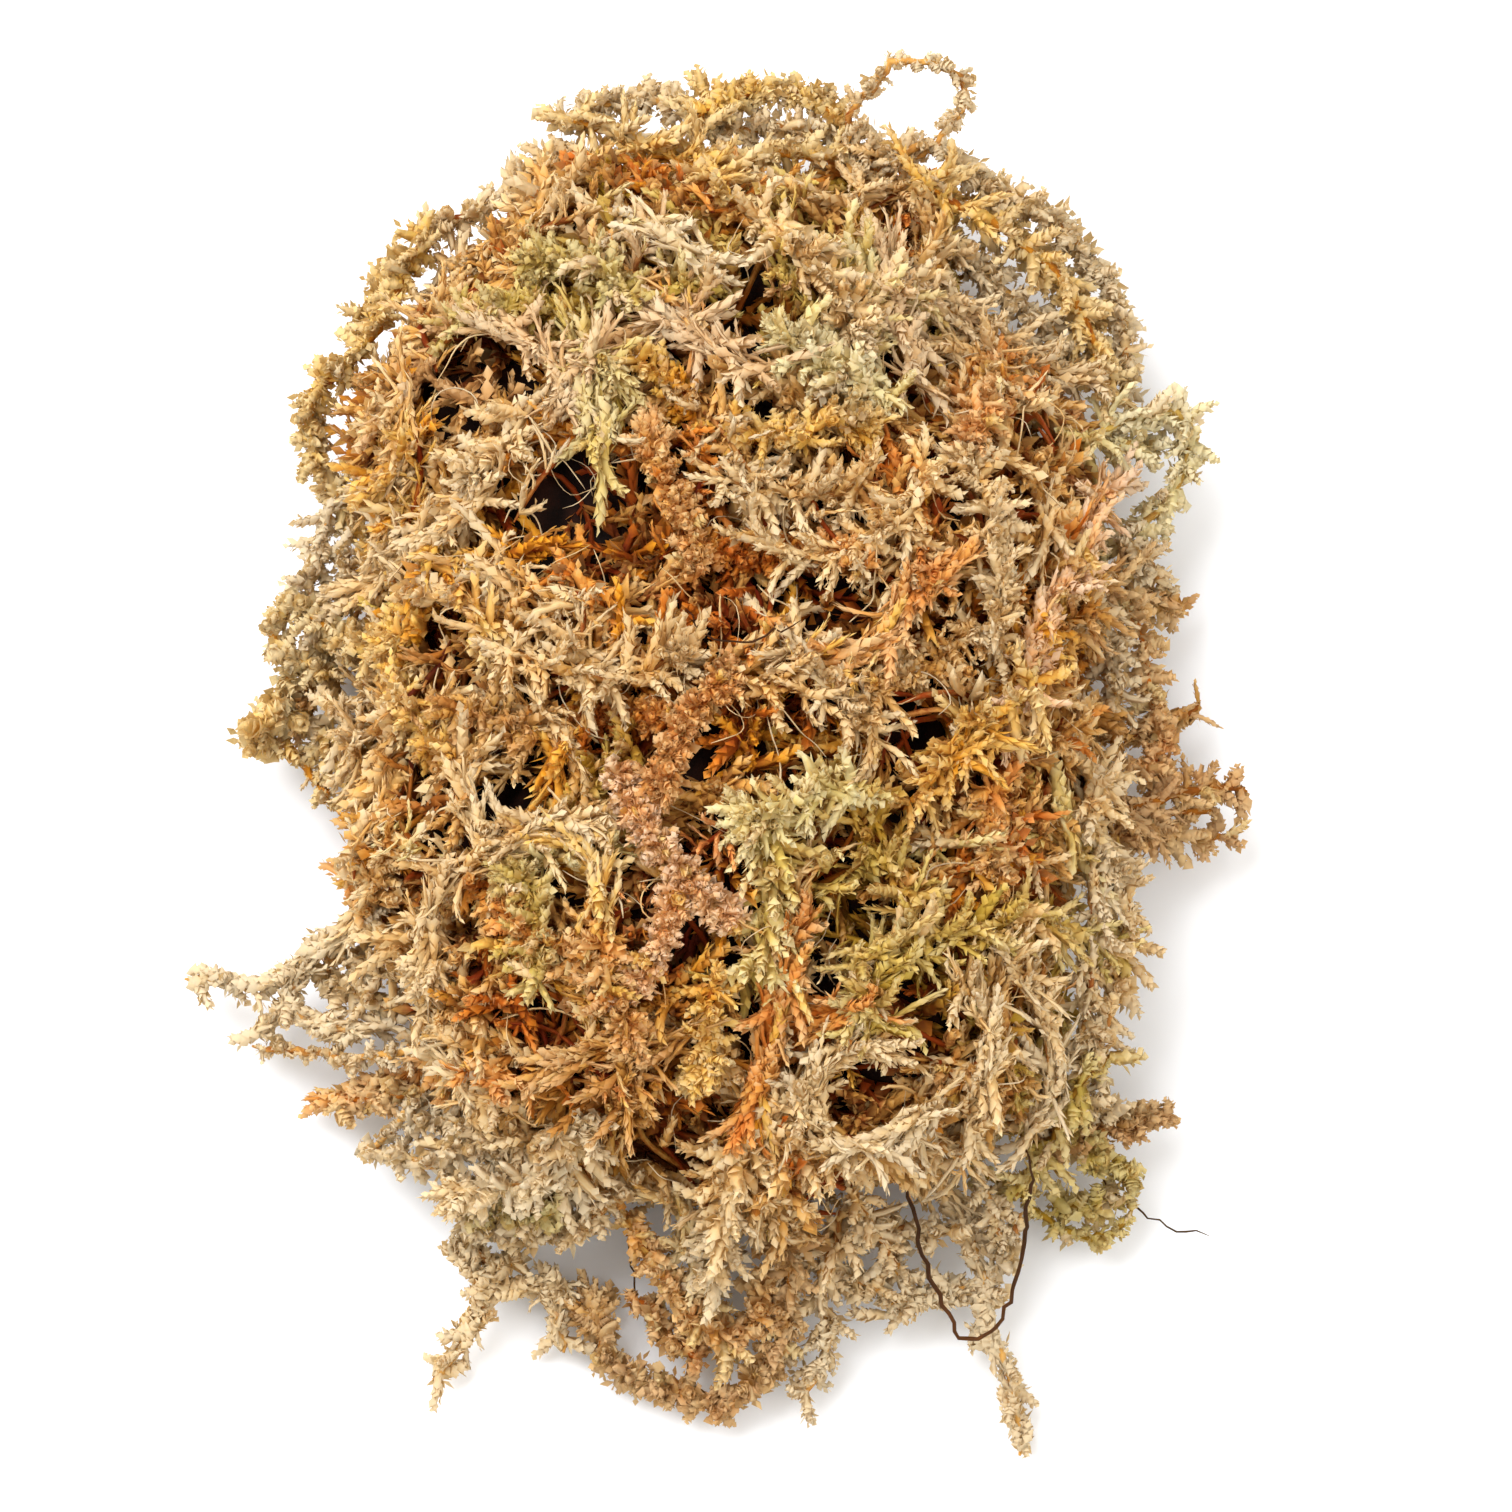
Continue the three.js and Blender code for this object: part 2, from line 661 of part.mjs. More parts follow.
// Tries to grow a branch out of one of some faces, leaning along the stem or out from its end.
function branchFrom(skin, faces, along, length, limb, lean) {
  const free = faces.filter((face) => skin.faces[face]);
  for (let attempt = 0; attempt < tries && free.length; attempt++) {
    const face = free[Math.floor(draw() * free.length)];
    const foot = skin.middleOf(face);
    const normal = skin.normalOf(face);
    const stray = new THREE.Vector3(between(-0.4, 0.4), between(-0.4, 0.4), between(-0.4, 0.4));
    const way = normal.clone().addScaledVector(along, between(...lean)).add(stray).normalize();
    if (way.dot(normal) < 0.6) continue;
    const varied = length * between(0.8, 1.2);
    const path = branchPath(foot, way, liftWay(foot), varied, limb, clearance);
    if (!path || !skin.growClear(path, [0, branch.belly, 0], face)) continue;
    place(path, branch.belly, limb);
    return true;
  }
  return false;
}

// Side branches, to the left and the right by turns.
function branchesAlong(skin, stemLimb) {
  const { rings, pieces, every } = stemLimb;
  let due = 0;
  let side = 1;
  for (let i = 0; i + 1 < rings.length; i++) {
    const along = rings[i + 1].clone().sub(rings[i]);
    due += along.length() / every;
    along.normalize();
    const out = liftWay(rings[i]);
    const across = along.clone().cross(out).normalize();
    for (; due >= 1; due -= 1) {
      const facing = pieces[i].filter((face) => {
        if (!skin.faces[face]) return false;
        const normal = skin.normalOf(face);
        return normal.dot(out) > -0.6 && side * normal.dot(across) > -0.1;
      });
      side = -side;
      branchFrom(skin, facing, along, branch.length, { parent: stemLimb, piece: i }, [0.2, 0.9]);
    }
  }
}

// The head at a stem's end: a branch out of each face of its last, short piece.
function headOn(skin, stemLimb) {
  const { rings, pieces } = stemLimb;
  const along = headingAt(rings, rings.length - 1);
  const ends = [...pieces.at(-2), ...pieces.at(-1)];
  ends.forEach((face) =>
    branchFrom(skin, [face], along, head.length, { parent: stemLimb, piece: rings.length - 2 }, [0.1, 0.7]),
  );
}

// ---------------------------------------------------------------- the strands

const sizeOf = (plan) => (plan.kind === "root" ? root : stem);

// Grows a stem along rings that are already clear, and keeps what its branches need.
function growStem(skin, rings, limb, size, every, face) {
  const radii = rings.map((_, i) => (i === rings.length - 1 ? size.endRadius : size.radius));
  if (face === undefined) radii[0] = size.endRadius;
  const pieces = skin.growClear(rings, radii, face);
  if (!pieces) return null;
  place(rings, size.radius, limb);
  return Object.assign(limb, { rings, pieces, every });
}

// The strand's own stem. A head needs a short piece at the end that it sits on.
function mainStem(plan) {
  const size = { ...sizeOf(plan), radius: plan.radius ?? sizeOf(plan).radius };
  const route = plan.head === "start" ? [...plan.route].reverse() : plan.route;
  const laid = laidAlong(route, size.radius, size.step);
  const limb = {};
  const rings = liftedClear(laid, size.radius, limb);
  if (plan.head) {
    const heading = headingAt(rings, rings.length - 1);
    rings.push(rings.at(-1).clone().addScaledVector(heading, head.neck));
  }
  const skin = new Skin();
  const every = plan.kind === "root" ? Infinity : plan.every ?? branch.every;
  const grown = growStem(skin, rings, limb, size, every);
  if (!grown) throw new Error(`${plan.name} crosses another strand`);
  return { plan, skin, size, stems: [grown] };
}

// The free faces of a strand's stems, the ones that are near a point and look along a way first.
function facesTowards({ skin, stems }, p, way) {
  const reach = 5;
  const most = 12;
  const rank = ({ face }) => skin.middleOf(face).distanceTo(p) / reach - skin.normalOf(face).dot(way);
  const facesOf = (parent, piece) => parent.pieces[piece].map((face) => ({ parent, piece, face }));
  return stems
    .flatMap((parent) => parent.rings.slice(1).flatMap((_, piece) => facesOf(parent, piece)))
    .filter(({ face }) => skin.faces[face])
    .sort((a, b) => rank(a) - rank(b))
    .slice(0, most);
}

// A stem that leaves the strand by a route of its own.
function addFork(strand, route) {
  const { skin, size, stems, plan } = strand;
  const laid = laidAlong(route, size.radius, size.step);
  for (const { parent, piece, face } of facesTowards(strand, laid[0], headingAt(laid, 0))) {
    const limb = { parent, piece };
    const rings = liftedClear([skin.middleOf(face), ...laid.slice(1)], size.radius, limb);
    const grown = growStem(skin, rings, limb, size, stems[0].every, face);
    if (!grown) continue;
    stems.push(grown);
    return;
  }
  throw new Error(`a fork of ${plan.name} crosses another stem`);
}

// A stem that leaves a strand out of one of its faces and wanders over the heart's skin.
function addRunner(strand) {
  const { skin, stems } = strand;
  const parent = stems[0];
  const piece = Math.floor(draw() * (parent.rings.length - 1));
  const faces = parent.pieces[piece].filter((f) => skin.faces[f]);
  const face = faces[Math.floor(draw() * faces.length)];
  const bend = between(-0.35, 0.35);
  if (face === undefined) return false;
  const gap = seat * runner.radius + skinGap;
  const path = [skin.middleOf(face)];
  const way = skin.normalOf(face).addScaledVector(headingAt(parent.rings, piece), between(-0.6, 0.6));
  for (let i = 0; i < runner.pieces; i++) {
    const last = path.at(-1);
    const out = skinSlope(last).normalize();
    if (i > 0) way.applyAxisAngle(out, bend + between(-0.3, 0.3)).addScaledVector(out, -way.dot(out));
    const stride = last.clone().addScaledVector(way.normalize(), i > 0 ? runner.step : runner.step / 2);
    const next = i > 0 ? offSkin(stride, gap) : pushedOut(stride, runner.radius);
    if (next.z < runner.radius + floorGap) break;
    if (next.distanceTo(last) > 1.5 * runner.step) return false;
    path.push(next);
  }
  if (path.length < 4) return false;
  const limb = { parent, piece };
  const rings = clearStretch(liftedClear(path, runner.radius, limb), path, runner.radius, limb);
  if (rings.length < 4) return false;
  const grown = growStem(skin, rings, limb, runner, runner.every, face);
  if (grown) stems.push(grown);
  return Boolean(grown);
}

function addRunners(strand) {
  const wanted = strand.stems.length + runner.each;
  for (let attempt = 0; strand.stems.length < wanted && attempt < tries; attempt++) addRunner(strand);
}

function addBranches({ plan, skin, stems }) {
  if (plan.head) headOn(skin, stems[0]);
  stems.forEach((stemLimb) => branchesAlong(skin, stemLimb));
}

function skirtPlan(i) {
  const start = (2 * Math.PI * (i + 0.3)) / skirt.strands;
  const route = Array.from({ length: skirt.points }, (_, k) => {
    const along = k / (skirt.points - 1);
    const turn = start + skirt.span * along;
    return [
      skirt.share * heart.halfWidth * Math.cos(turn),
      skirt.share * heart.halfLength * Math.sin(turn),
      skirt.low + (skirt.high - skirt.low) * along + skirt.wave * Math.sin(2.1 * k + i),
    ];
  });
  return { name: `skirt_strand_${i + 1}`, tint: skirt.tints[i % skirt.tints.length], route };
}

// ---------------------------------------------------------------- the heart

function heartCore() {
  const ball = new THREE.IcosahedronGeometry(1, heart.facets);
  const corners = ball.getAttribute("position");
  const p = new THREE.Vector3();
  for (let i = 0; i < corners.count; i++) {
    p.fromBufferAttribute(corners, i);
    const skin = skinAlong(p);
    skin.addScaledVector(skinSlope(skin).normalize(), -furrow(skin));
    corners.setXYZ(i, skin.x, skin.y, skin.z);
  }
  ball.deleteAttribute("normal");
  ball.deleteAttribute("uv");
  const merged = mergeVertices(ball, 1e-3);
  const places = merged.getAttribute("position");
  const cornerAt = (i) => new THREE.Vector3().fromBufferAttribute(places, i);
  const faces = [];
  for (let i = 0; i < merged.index.count; i += 3)
    faces.push([0, 1, 2].map((k) => cornerAt(merged.index.getX(i + k))));
  const made = boxed(faces);
  built.push(made);
  return Object.assign(made, { solid: solid(places.array, new Uint32Array(merged.index.array)) });
}

// The point of the heart's skin that lies in a direction from its middle.
function skinAlong(direction) {
  const way = new THREE.Vector3(
    direction.x * heart.halfWidth,
    direction.y * heart.halfLength,
    direction.z * (direction.z > 0 ? heart.rise : heart.drop),
  );
  let reach = 1;
  const at = () => way.clone().multiplyScalar(reach).setZ(heart.middle + way.z * reach);
  for (let pass = 0; pass < 8; pass++) reach /= 1 + skinLevel(at());
  return at();
}

// Branches spread evenly over the skin by a golden-angle spiral, leaning over in all directions.
function heartBranches() {
  const golden = Math.PI * (3 - Math.sqrt(5));
  const made = [];
  for (let i = 0; i < heart.branches; i++) {
    const z = 1 - (2 * (i + 0.5)) / heart.branches;
    const flat = Math.sqrt(1 - z * z);
    const skin = skinAlong(new THREE.Vector3(flat * Math.cos(golden * i), flat * Math.sin(golden * i), z));
    const out = skinSlope(skin).normalize();
    const foot = skin.clone().addScaledVector(out, -furrow(skin) - heart.rootDepth);
    for (let attempt = 0; attempt < tries; attempt++) {
      const stray = new THREE.Vector3(between(-1, 1), between(-1, 1), between(-1, 1));
      const way = out.clone().add(stray.multiplyScalar(0.9)).normalize();
      const length = branch.length * between(0.9, 1.3);
      const path = way.dot(out) > 0.4 && branchPath(foot, way, out, length, {}, -branch.belly);
      if (!path) continue;
      const spindle = new Skin();
      if (!spindle.growClear(path, [branch.belly / 2, branch.belly, 0])) continue;
      place(path, branch.belly, {});
      made.push(spindle.solid());
      break;
    }
  }
  return made;
}

// Fuses the branches to the core, fills any hollow sealed between them, and cuts the flat spot.
function mossHeart() {
  built.splice(built.indexOf(core), 1); // the heart's own branches are fused to its core
  const pieces = [core.solid, ...heartBranches()];
  const whole = wasm.Manifold.union(pieces).trimByPlane([0, 0, 1], 0);
  const body = whole.decompose().reduce((best, one) => (one.volume() > best.volume() ? one : best));
  return meshOf(body, "moss_heart", "heart");
}

// ---------------------------------------------------------------- the clump

const plans = [...strandPlan, ...Array.from({ length: skirt.strands }, (_, i) => skirtPlan(i))];

// The heart's core comes first, then every strand's own stem, the forks, the runners, the branches
// of the strands, and last the heart's branches in the room that is left.
const core = heartCore();
const strands = plans.map(mainStem);
strands.forEach((strand) => (strand.plan.forks ?? []).forEach((route) => addFork(strand, route)));
strands.forEach(addRunners);
strands.forEach(addBranches);

const clump = new THREE.Group();
clump.name = "sphagnum_moss_clump";
strands.forEach(({ plan, skin }) => clump.add(meshOf(skin.solid(), plan.name, plan.tint)));
clump.add(mossHeart());

export default clump;
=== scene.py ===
"""A clump of dried sphagnum moss, lying on a pale surface and seen from above.

Every strand of the frame is replaced by a finer one on the same route: a fluted stem, and bunches
of bowed branches that are covered with pointed leaves. The frame's heart is replaced by a core painted
near black as painted shade, and by matted strands that wander over it. Smaller strands and loose
fibres lie among them.
All lengths in the making are in millimetres, in the frame's own axes, and are turned into metres
where a mesh is made. Only the lights and the floor are given in metres.
"""

import math

import bpy
import numpy as np
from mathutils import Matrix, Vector


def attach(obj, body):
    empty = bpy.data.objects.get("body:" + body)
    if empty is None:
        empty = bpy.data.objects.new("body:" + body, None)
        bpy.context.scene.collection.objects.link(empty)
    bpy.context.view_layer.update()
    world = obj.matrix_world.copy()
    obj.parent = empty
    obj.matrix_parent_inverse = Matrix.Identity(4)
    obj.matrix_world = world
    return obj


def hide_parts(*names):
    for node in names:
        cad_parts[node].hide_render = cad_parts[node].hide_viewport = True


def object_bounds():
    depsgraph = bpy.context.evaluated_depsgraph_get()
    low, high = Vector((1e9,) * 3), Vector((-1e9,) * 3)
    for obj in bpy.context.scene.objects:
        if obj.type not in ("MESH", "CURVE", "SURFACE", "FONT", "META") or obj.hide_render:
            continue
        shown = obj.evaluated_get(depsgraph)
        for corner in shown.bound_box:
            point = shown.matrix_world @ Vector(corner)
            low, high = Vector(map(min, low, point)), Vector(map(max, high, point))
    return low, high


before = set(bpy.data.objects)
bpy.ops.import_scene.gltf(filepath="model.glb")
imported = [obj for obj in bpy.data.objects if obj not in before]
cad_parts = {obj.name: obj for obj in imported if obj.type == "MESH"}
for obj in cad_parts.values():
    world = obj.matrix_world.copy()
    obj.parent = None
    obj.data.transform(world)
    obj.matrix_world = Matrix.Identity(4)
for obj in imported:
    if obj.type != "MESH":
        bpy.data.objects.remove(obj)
cad_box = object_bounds()

METRES = 0.001
# Each strand, the extra ones, the fibres and the mat draw from seeds of their own.
SEED = 2204
EXTRAS_SEED = 500
FIBRES_SEED = 700
MAT_SEED = 900
UP = np.array([0.0, 0.0, 1.0])
LOW = np.array(cad_box[0]) / METRES
HIGH = np.array(cad_box[1]) / METRES


# ------------------------------------------------------------------ the view, the floor, the light

# The point that the camera faces, its angle over the surface and how much it takes in there.
VIEW_CENTRE = (4.2, -12.9, 25.0)
VIEW_ELEVATION = math.radians(78)
VIEW_WIDTH = 226.8
LENS = 200.0
SENSOR = 36.0

# Each light's place, its power and its colour.
LIGHTS = {
    "key": ((-0.75, 0.65, 1.3), 36.5, (1.0, 1.0, 1.01)),
    "fill": ((0.9, -0.7, 1.0), 9, (1.0, 0.98, 0.95)),
}
LIGHT_SIZE = 1.4
SKY = (1.0, 0.945, 0.87, 1)
SKY_STRENGTH = 0.98

FLOOR_HALF = 1.5
FLOOR_DROP = 0.0002


def make_camera():
    """A long lens that looks down on the clump from a little in front of it."""
    data = bpy.data.cameras.new("camera")
    data.lens = LENS
    data.sensor_width = SENSOR
    distance = VIEW_WIDTH * LENS / SENSOR
    back = np.array([0.0, -math.cos(VIEW_ELEVATION), math.sin(VIEW_ELEVATION)])
    camera = bpy.data.objects.new("camera", data)
    camera.location = (np.array(VIEW_CENTRE) + back * distance) * METRES
    camera.rotation_euler = (math.pi / 2 - VIEW_ELEVATION, 0, 0)
    bpy.context.scene.collection.objects.link(camera)
    bpy.context.scene.camera = camera


def make_light(name, place, power, colour):
    """A soft square light that faces the clump."""
    data = bpy.data.lights.new(name, "AREA")
    data.size = LIGHT_SIZE
    data.energy = power
    data.color = colour
    light = bpy.data.objects.new(name, data)
    light.location = place
    light.rotation_euler = Vector(place).to_track_quat("Z", "Y").to_euler()
    bpy.context.scene.collection.objects.link(light)


def make_studio():
    """A key light from the upper left, a weak one from the lower right, and a pale sky."""
    for name, light in LIGHTS.items():
        make_light(name, *light)
    world = bpy.data.worlds.new("pale sky")
    world.use_nodes = True
    background = world.node_tree.nodes["Background"]
    background.inputs["Color"].default_value = SKY
    background.inputs["Strength"].default_value = SKY_STRENGTH
    bpy.context.scene.world = world
    bpy.context.scene.view_settings.view_transform = "Standard"


def make_floor(finish):
    """The pale surface under the clump, just below its flat spot."""
    mesh = bpy.data.meshes.new("floor")
    ways = ((-1, -1), (1, -1), (1, 1), (-1, 1))
    corners = [(x * FLOOR_HALF, y * FLOOR_HALF, -FLOOR_DROP) for x, y in ways]
    mesh.from_pydata(corners, [], [(0, 1, 2, 3)])
    mesh.materials.append(finish)
    floor = bpy.data.objects.new("floor", mesh)
    bpy.context.scene.collection.objects.link(floor)


# ------------------------------------------------------------------ vectors

TINY = 1e-9


def unit(v):
    """The same directions, each 1 long."""
    return v / np.maximum(np.linalg.norm(v, axis=-1, keepdims=True), TINY)


def dots(a, b):
    """How far each a runs along its b."""
    return (a * b).sum(-1, keepdims=True)


def scattered(rng, count):
    """Directions spread evenly over a ball."""
    return unit(rng.normal(size=(count, 3)))


def square_to(way, rng):
    """For each way, a direction square to it, any way round."""
    other = scattered(rng, len(way))
    return unit(other - dots(other, way) * way)


# ------------------------------------------------------------------ the heart's skin

# The heart of the frame, as the frame's own source shapes it: a squarish lens with slow waves.
HALF_WIDTH = 55
HALF_LENGTH = 79
MIDDLE = 17
RISE = 30
DROP = 18
SQUARENESS = 2.4
LUMPS = 0.06


def skin_level(p):
    """Zero on the heart's skin and under zero inside it."""
    x, y, z = p[..., 0], p[..., 1], p[..., 2]
    reach = np.where(z > MIDDLE, RISE, DROP)
    flat = np.abs(x / HALF_WIDTH) ** SQUARENESS + np.abs(y / HALF_LENGTH) ** SQUARENESS
    tall = np.abs((z - MIDDLE) / reach) ** SQUARENESS
    broad = np.sin(0.11 * x + 1) * np.cos(0.09 * y + 2)
    slanted = 0.6 * np.sin(0.05 * x - 0.07 * y + 0.5)
    return (flat + tall) ** (1 / SQUARENESS) - 1 - LUMPS * (broad + slanted)


def skin_slope(p):
    """The way in which the level grows, and how fast."""
    nudge = 0.5
    steps = np.eye(3) * nudge
    return np.stack([(skin_level(p + s) - skin_level(p - s)) / (2 * nudge) for s in steps], -1)


def skin_distance(p):
    """About how far points are off the skin."""
    return skin_level(p) / np.linalg.norm(skin_slope(p), axis=-1)


def outward(p):
    """The directions that point straight out of the heart."""
    return unit(skin_slope(p))


def off_skin(p, gap):
    """The nearest points at a given height off the skin."""
    for _ in range(4):
        slope = skin_slope(p)
        steepness = np.linalg.norm(slope, axis=-1)
        short = gap - skin_level(p) / steepness
        p = p + (short / steepness)[:, None] * slope
    return p


def on_top(x, y):
    """The point of the skin's upper side over x and y."""
    caution = 0.7
    p = np.array([x, y, MIDDLE + RISE], float)
    for _ in range(12):
        p[2] -= skin_level(p) * RISE * caution
    p[2] = max(p[2], MIDDLE)
    return p


def skin_along(direction):
    """The points of the skin that lie in some directions from the heart's middle."""
    tall = np.where(direction[:, 2] > 0, RISE, DROP)
    wide = np.full(len(tall), HALF_WIDTH)
    deep = np.full(len(tall), HALF_LENGTH)
    way = direction * np.stack([wide, deep, tall], 1)
    reach = np.ones((len(way), 1))
    for _ in range(8):
        reach = reach / (1 + skin_level(MIDDLE * UP + way * reach)[:, None])
    return MIDDLE * UP + way * reach


# ------------------------------------------------------------------ routes

# How far the frame's stems keep off each other, the heart's skin and the surface below, and how
# much of a stem's radius lies over the skin.
CLEARANCE = 0.35
SKIN_GAP = 0.25
SEAT = 0.6
FLOOR_GAP = 0.4
STEM_RADIUS = 1.15
ROOT_RADIUS = 0.55
HAIR_RADIUS = 0.16
# A route's points lie this far apart, and what lies deeper than this in the heart is left out.
ROUTE_STEP = 5
DEEPEST = 1.5
# A stem that crosses another is lifted by steps, up to a steepest climb from point to point.
LIFT_STEP = 0.3
MOST_CLIMB = 2.4


def pushed_out(p, radius):
    """Moves points out of the heart until a stem would lie clear of it and of the floor."""
    out = p.copy()
    lowest = radius + FLOOR_GAP
    near_floor = lowest + 0.1
    for _ in range(8):
        out[:, 2] = np.maximum(out[:, 2], lowest)
        short = SEAT * radius + SKIN_GAP - skin_distance(out)
        normal = outward(out)
        way = normal.copy()
        way[(out[:, 2] < near_floor) & (way[:, 2] < 0), 2] = 0
        way = unit(way)
        stride = np.where(short > 0, short / dots(way, normal)[:, 0], 0)
        out = out + stride[:, None] * way
    out[:, 2] = np.maximum(out[:, 2], lowest)
    return out


def evenly(path, step):
    """A path again, with points at about one step from each other."""
    along = np.concatenate([[0], np.cumsum(np.linalg.norm(np.diff(path, axis=0), axis=1))])
    pieces = max(2, round(along[-1] / step))
    places = np.linspace(0, along[-1], pieces + 1)
    return np.stack([np.interp(places, along, path[:, k]) for k in range(3)], 1)


def curve_through(points):
    """A centripetal Catmull-Rom curve through some points."""
    ends = 2 * points[0] - points[1], 2 * points[-1] - points[-2]
    p = np.vstack([ends[0], points, ends[1]])
    t = np.linspace(0, 1, 24, endpoint=False)[:, None]
    stretches = []
    for a, b, c, d in zip(p, p[1:], p[2:], p[3:]):
        before, here, after = (max(np.linalg.norm(v), 1e-6) ** 0.5 for v in (b - a, c - b, d - c))
        leave = here * ((b - a) / before - (c - a) / (before + here) + (c - b) / here)
        arrive = here * ((c - b) / here - (d - b) / (here + after) + (d - c) / after)
        bend = 2 * b - 2 * c + leave + arrive
        swing = -3 * b + 3 * c - 2 * leave - arrive
        stretches.append(b + t * (leave + t * (swing + t * bend)))
    return np.vstack(stretches + [points[-1:]])


def laid_along(route, radius):
    """A stem along a route, off the heart. What would run deep inside the heart is left out."""
    points = np.array([on_top(*p) if len(p) == 2 else p for p in route], float)
    fine = evenly(curve_through(points), 1)
    outside = pushed_out(fine[skin_distance(fine) > -DEEPEST], radius)
    smooth = curve_through(evenly(outside, ROUTE_STEP))
    return pushed_out(evenly(smooth, ROUTE_STEP), radius)


def segment_gap(a, b, c, d):
    """Least distances between the segment a-b and each of the segments c-d."""
    ab = b - a
    cd = d - c
    ca = a - c
    abab = ab @ ab
    cdcd = (cd * cd).sum(1)
    abcd = cd @ ab
    abca = ca @ ab
    cdca = (cd * ca).sum(1)
    spread = np.maximum(abab * cdcd - abcd ** 2, TINY)
    s = np.clip((abcd * cdca - abca * cdcd) / spread, 0, 1)
    t = np.clip((abcd * s + cdca) / cdcd, 0, 1)
    s = np.clip((abcd * t - abca) / abab, 0, 1)
    return np.linalg.norm(ca + s[:, None] * ab - t[:, None] * cd, axis=1)


class Laid:
    """The stems that lie already, which a new one is lifted over in a low arch."""

    def __init__(self):
        self.starts = np.zeros((0, 3))
        self.ends = np.zeros((0, 3))
        self.radii = np.zeros(0)

    def touches(self, a, b, radius):
        """Whether a stem from a to b would touch one that lies already."""
        if not len(self.radii):
            return False
        gap = segment_gap(a, b, self.starts, self.ends)
        return bool((gap < radius + self.radii + CLEARANCE).any())

    def lifted_over(self, path, radius, rooted=False):
        """A stem's path, lifted where it crosses others. The start of a rooted one stays put."""
        hanging = -0.1
        more_upward = 0.6
        way = outward(path)
        way[:, 2] = np.where(way[:, 2] < hanging, 0, way[:, 2] + more_upward)
        way = unit(way)
        lifts = np.zeros(len(path))
        for _ in range(60):
            now = path + lifts[:, None] * way
            crossed = [
                self.touches(now[i], now[i + 1], radius) and not (rooted and i == 0)
                for i in range(len(path) - 1)
            ]
            if not any(crossed):
                break
            for i in np.flatnonzero(crossed):
                lifts[i] += LIFT_STEP
                lifts[i + 1] += LIFT_STEP
            for i in range(1, len(lifts)):
                lifts[i] = max(lifts[i], lifts[i - 1] - MOST_CLIMB)
            for i in range(len(lifts) - 2, -1, -1):
                lifts[i] = max(lifts[i], lifts[i + 1] - MOST_CLIMB)
            if rooted:
                lifts[0] = 0
        return path + lifts[:, None] * way

    def lay(self, path, radius):
        """Notes a stem as one that lies already."""
        self.starts = np.vstack([self.starts, path[:-1]])
        self.ends = np.vstack([self.ends, path[1:]])
        self.radii = np.append(self.radii, np.full(len(path) - 1, radius))


# ------------------------------------------------------------------ a piece in the making

# No corner lies lower than this, so that nothing dips into the surface below.
LOWEST_CORNER = 0.02
# The chart holds the turn and the shade, with a margin on every side.
CHART_SPAN = 0.96
CHART_MARGIN = 0.02


class Tangle:
    """Gathers the triangles of one piece. Each corner has a shade, from 0 for the deepest tone of a
    finish to 1 for its palest, and a turn, the share of the finish's second colour."""

    def __init__(self):
        self.places = []
        self.faces = []
        self.shades = []
        self.turns = []
        self.normals = []
        self.count = 0

    def add(self, places, faces, shades, turns, normals=None):
        """Adds triangles. Where no normals are given the mesh finds its own."""
        self.places.append(places)
        self.faces.append(faces + self.count)
        self.shades.append(shades)
        self.turns.append(turns)
        self.normals.append(np.zeros_like(places) if normals is None else normals)
        self.count += len(places)

    def made(self, name, finish, slot, *nodes):
        """Makes the piece, which rides on the frame and stands for some of its nodes."""
        places = np.vstack(self.places)
        places[:, 2] = np.maximum(places[:, 2], LOWEST_CORNER)
        faces = np.vstack(self.faces).astype(np.int32)
        shades = np.concatenate(self.shades).clip(0, 1).astype(np.float32)
        turns = np.concatenate(self.turns).clip(0, 1).astype(np.float32)
        mesh = bpy.data.meshes.new(name)
        mesh.vertices.add(len(places))
        mesh.vertices.foreach_set("co", (places * METRES).astype(np.float32).ravel())
        mesh.loops.add(faces.size)
        mesh.loops.foreach_set("vertex_index", faces.ravel())
        mesh.polygons.add(len(faces))
        mesh.polygons.foreach_set("loop_start", np.arange(0, faces.size, 3, dtype=np.int32))
        mesh.update(calc_edges=True)
        mesh.polygons.foreach_set("use_smooth", np.ones(len(faces), bool))
        for title, values in (("shade", shades), ("turn", turns)):
            mesh.attributes.new(title, "FLOAT", "POINT").data.foreach_set("value", values)
        chart = np.stack([turns, shades], 1)[faces.ravel()] * CHART_SPAN + CHART_MARGIN
        mesh.uv_layers.new(name="OFBake").data.foreach_set("uv", chart.ravel())
        mesh.materials.append(finish)
        mesh.validate()
        mesh.normals_split_custom_set_from_vertices(np.vstack(self.normals).astype(np.float32))
        piece = bpy.data.objects.new(name, mesh)
        bpy.context.scene.collection.objects.link(piece)
        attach(piece, "root")
        if nodes:
            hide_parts(*nodes)


# ------------------------------------------------------------------ leafy branches

BRANCH_LENGTH = 10
GOLDEN = math.pi * (3 - math.sqrt(5))
FORMS_EACH = 7
# Where along a branch its leaves start, and the share of it that they cover.
FIRST_LEAF = 0.02
LEAFY_SHARE = 0.9
# Some leaves stand off the branch more than the others.
ODD_LEAVES = 0.08
ODD_OPENING = math.radians(18)
# A leaf is widest this far along it, and is folded by this share of its width.
WIDEST = 0.56
FOLD = 0.28
# How pale each corner is: on the branch and at its tip, and at the foot, sides and tip of a leaf. A leaf's
# foot is darker than its tip as painted shade, where the leaf before it lies over it.
CORE_SHADE = 0.5
CORE_TIP_SHADE = 0.7
FOOT_PAINTED_SHADE = 0.48
RIGHT_SHADE = 0.56
LEFT_SHADE = 0.59
TIP_SHADE = 0.68


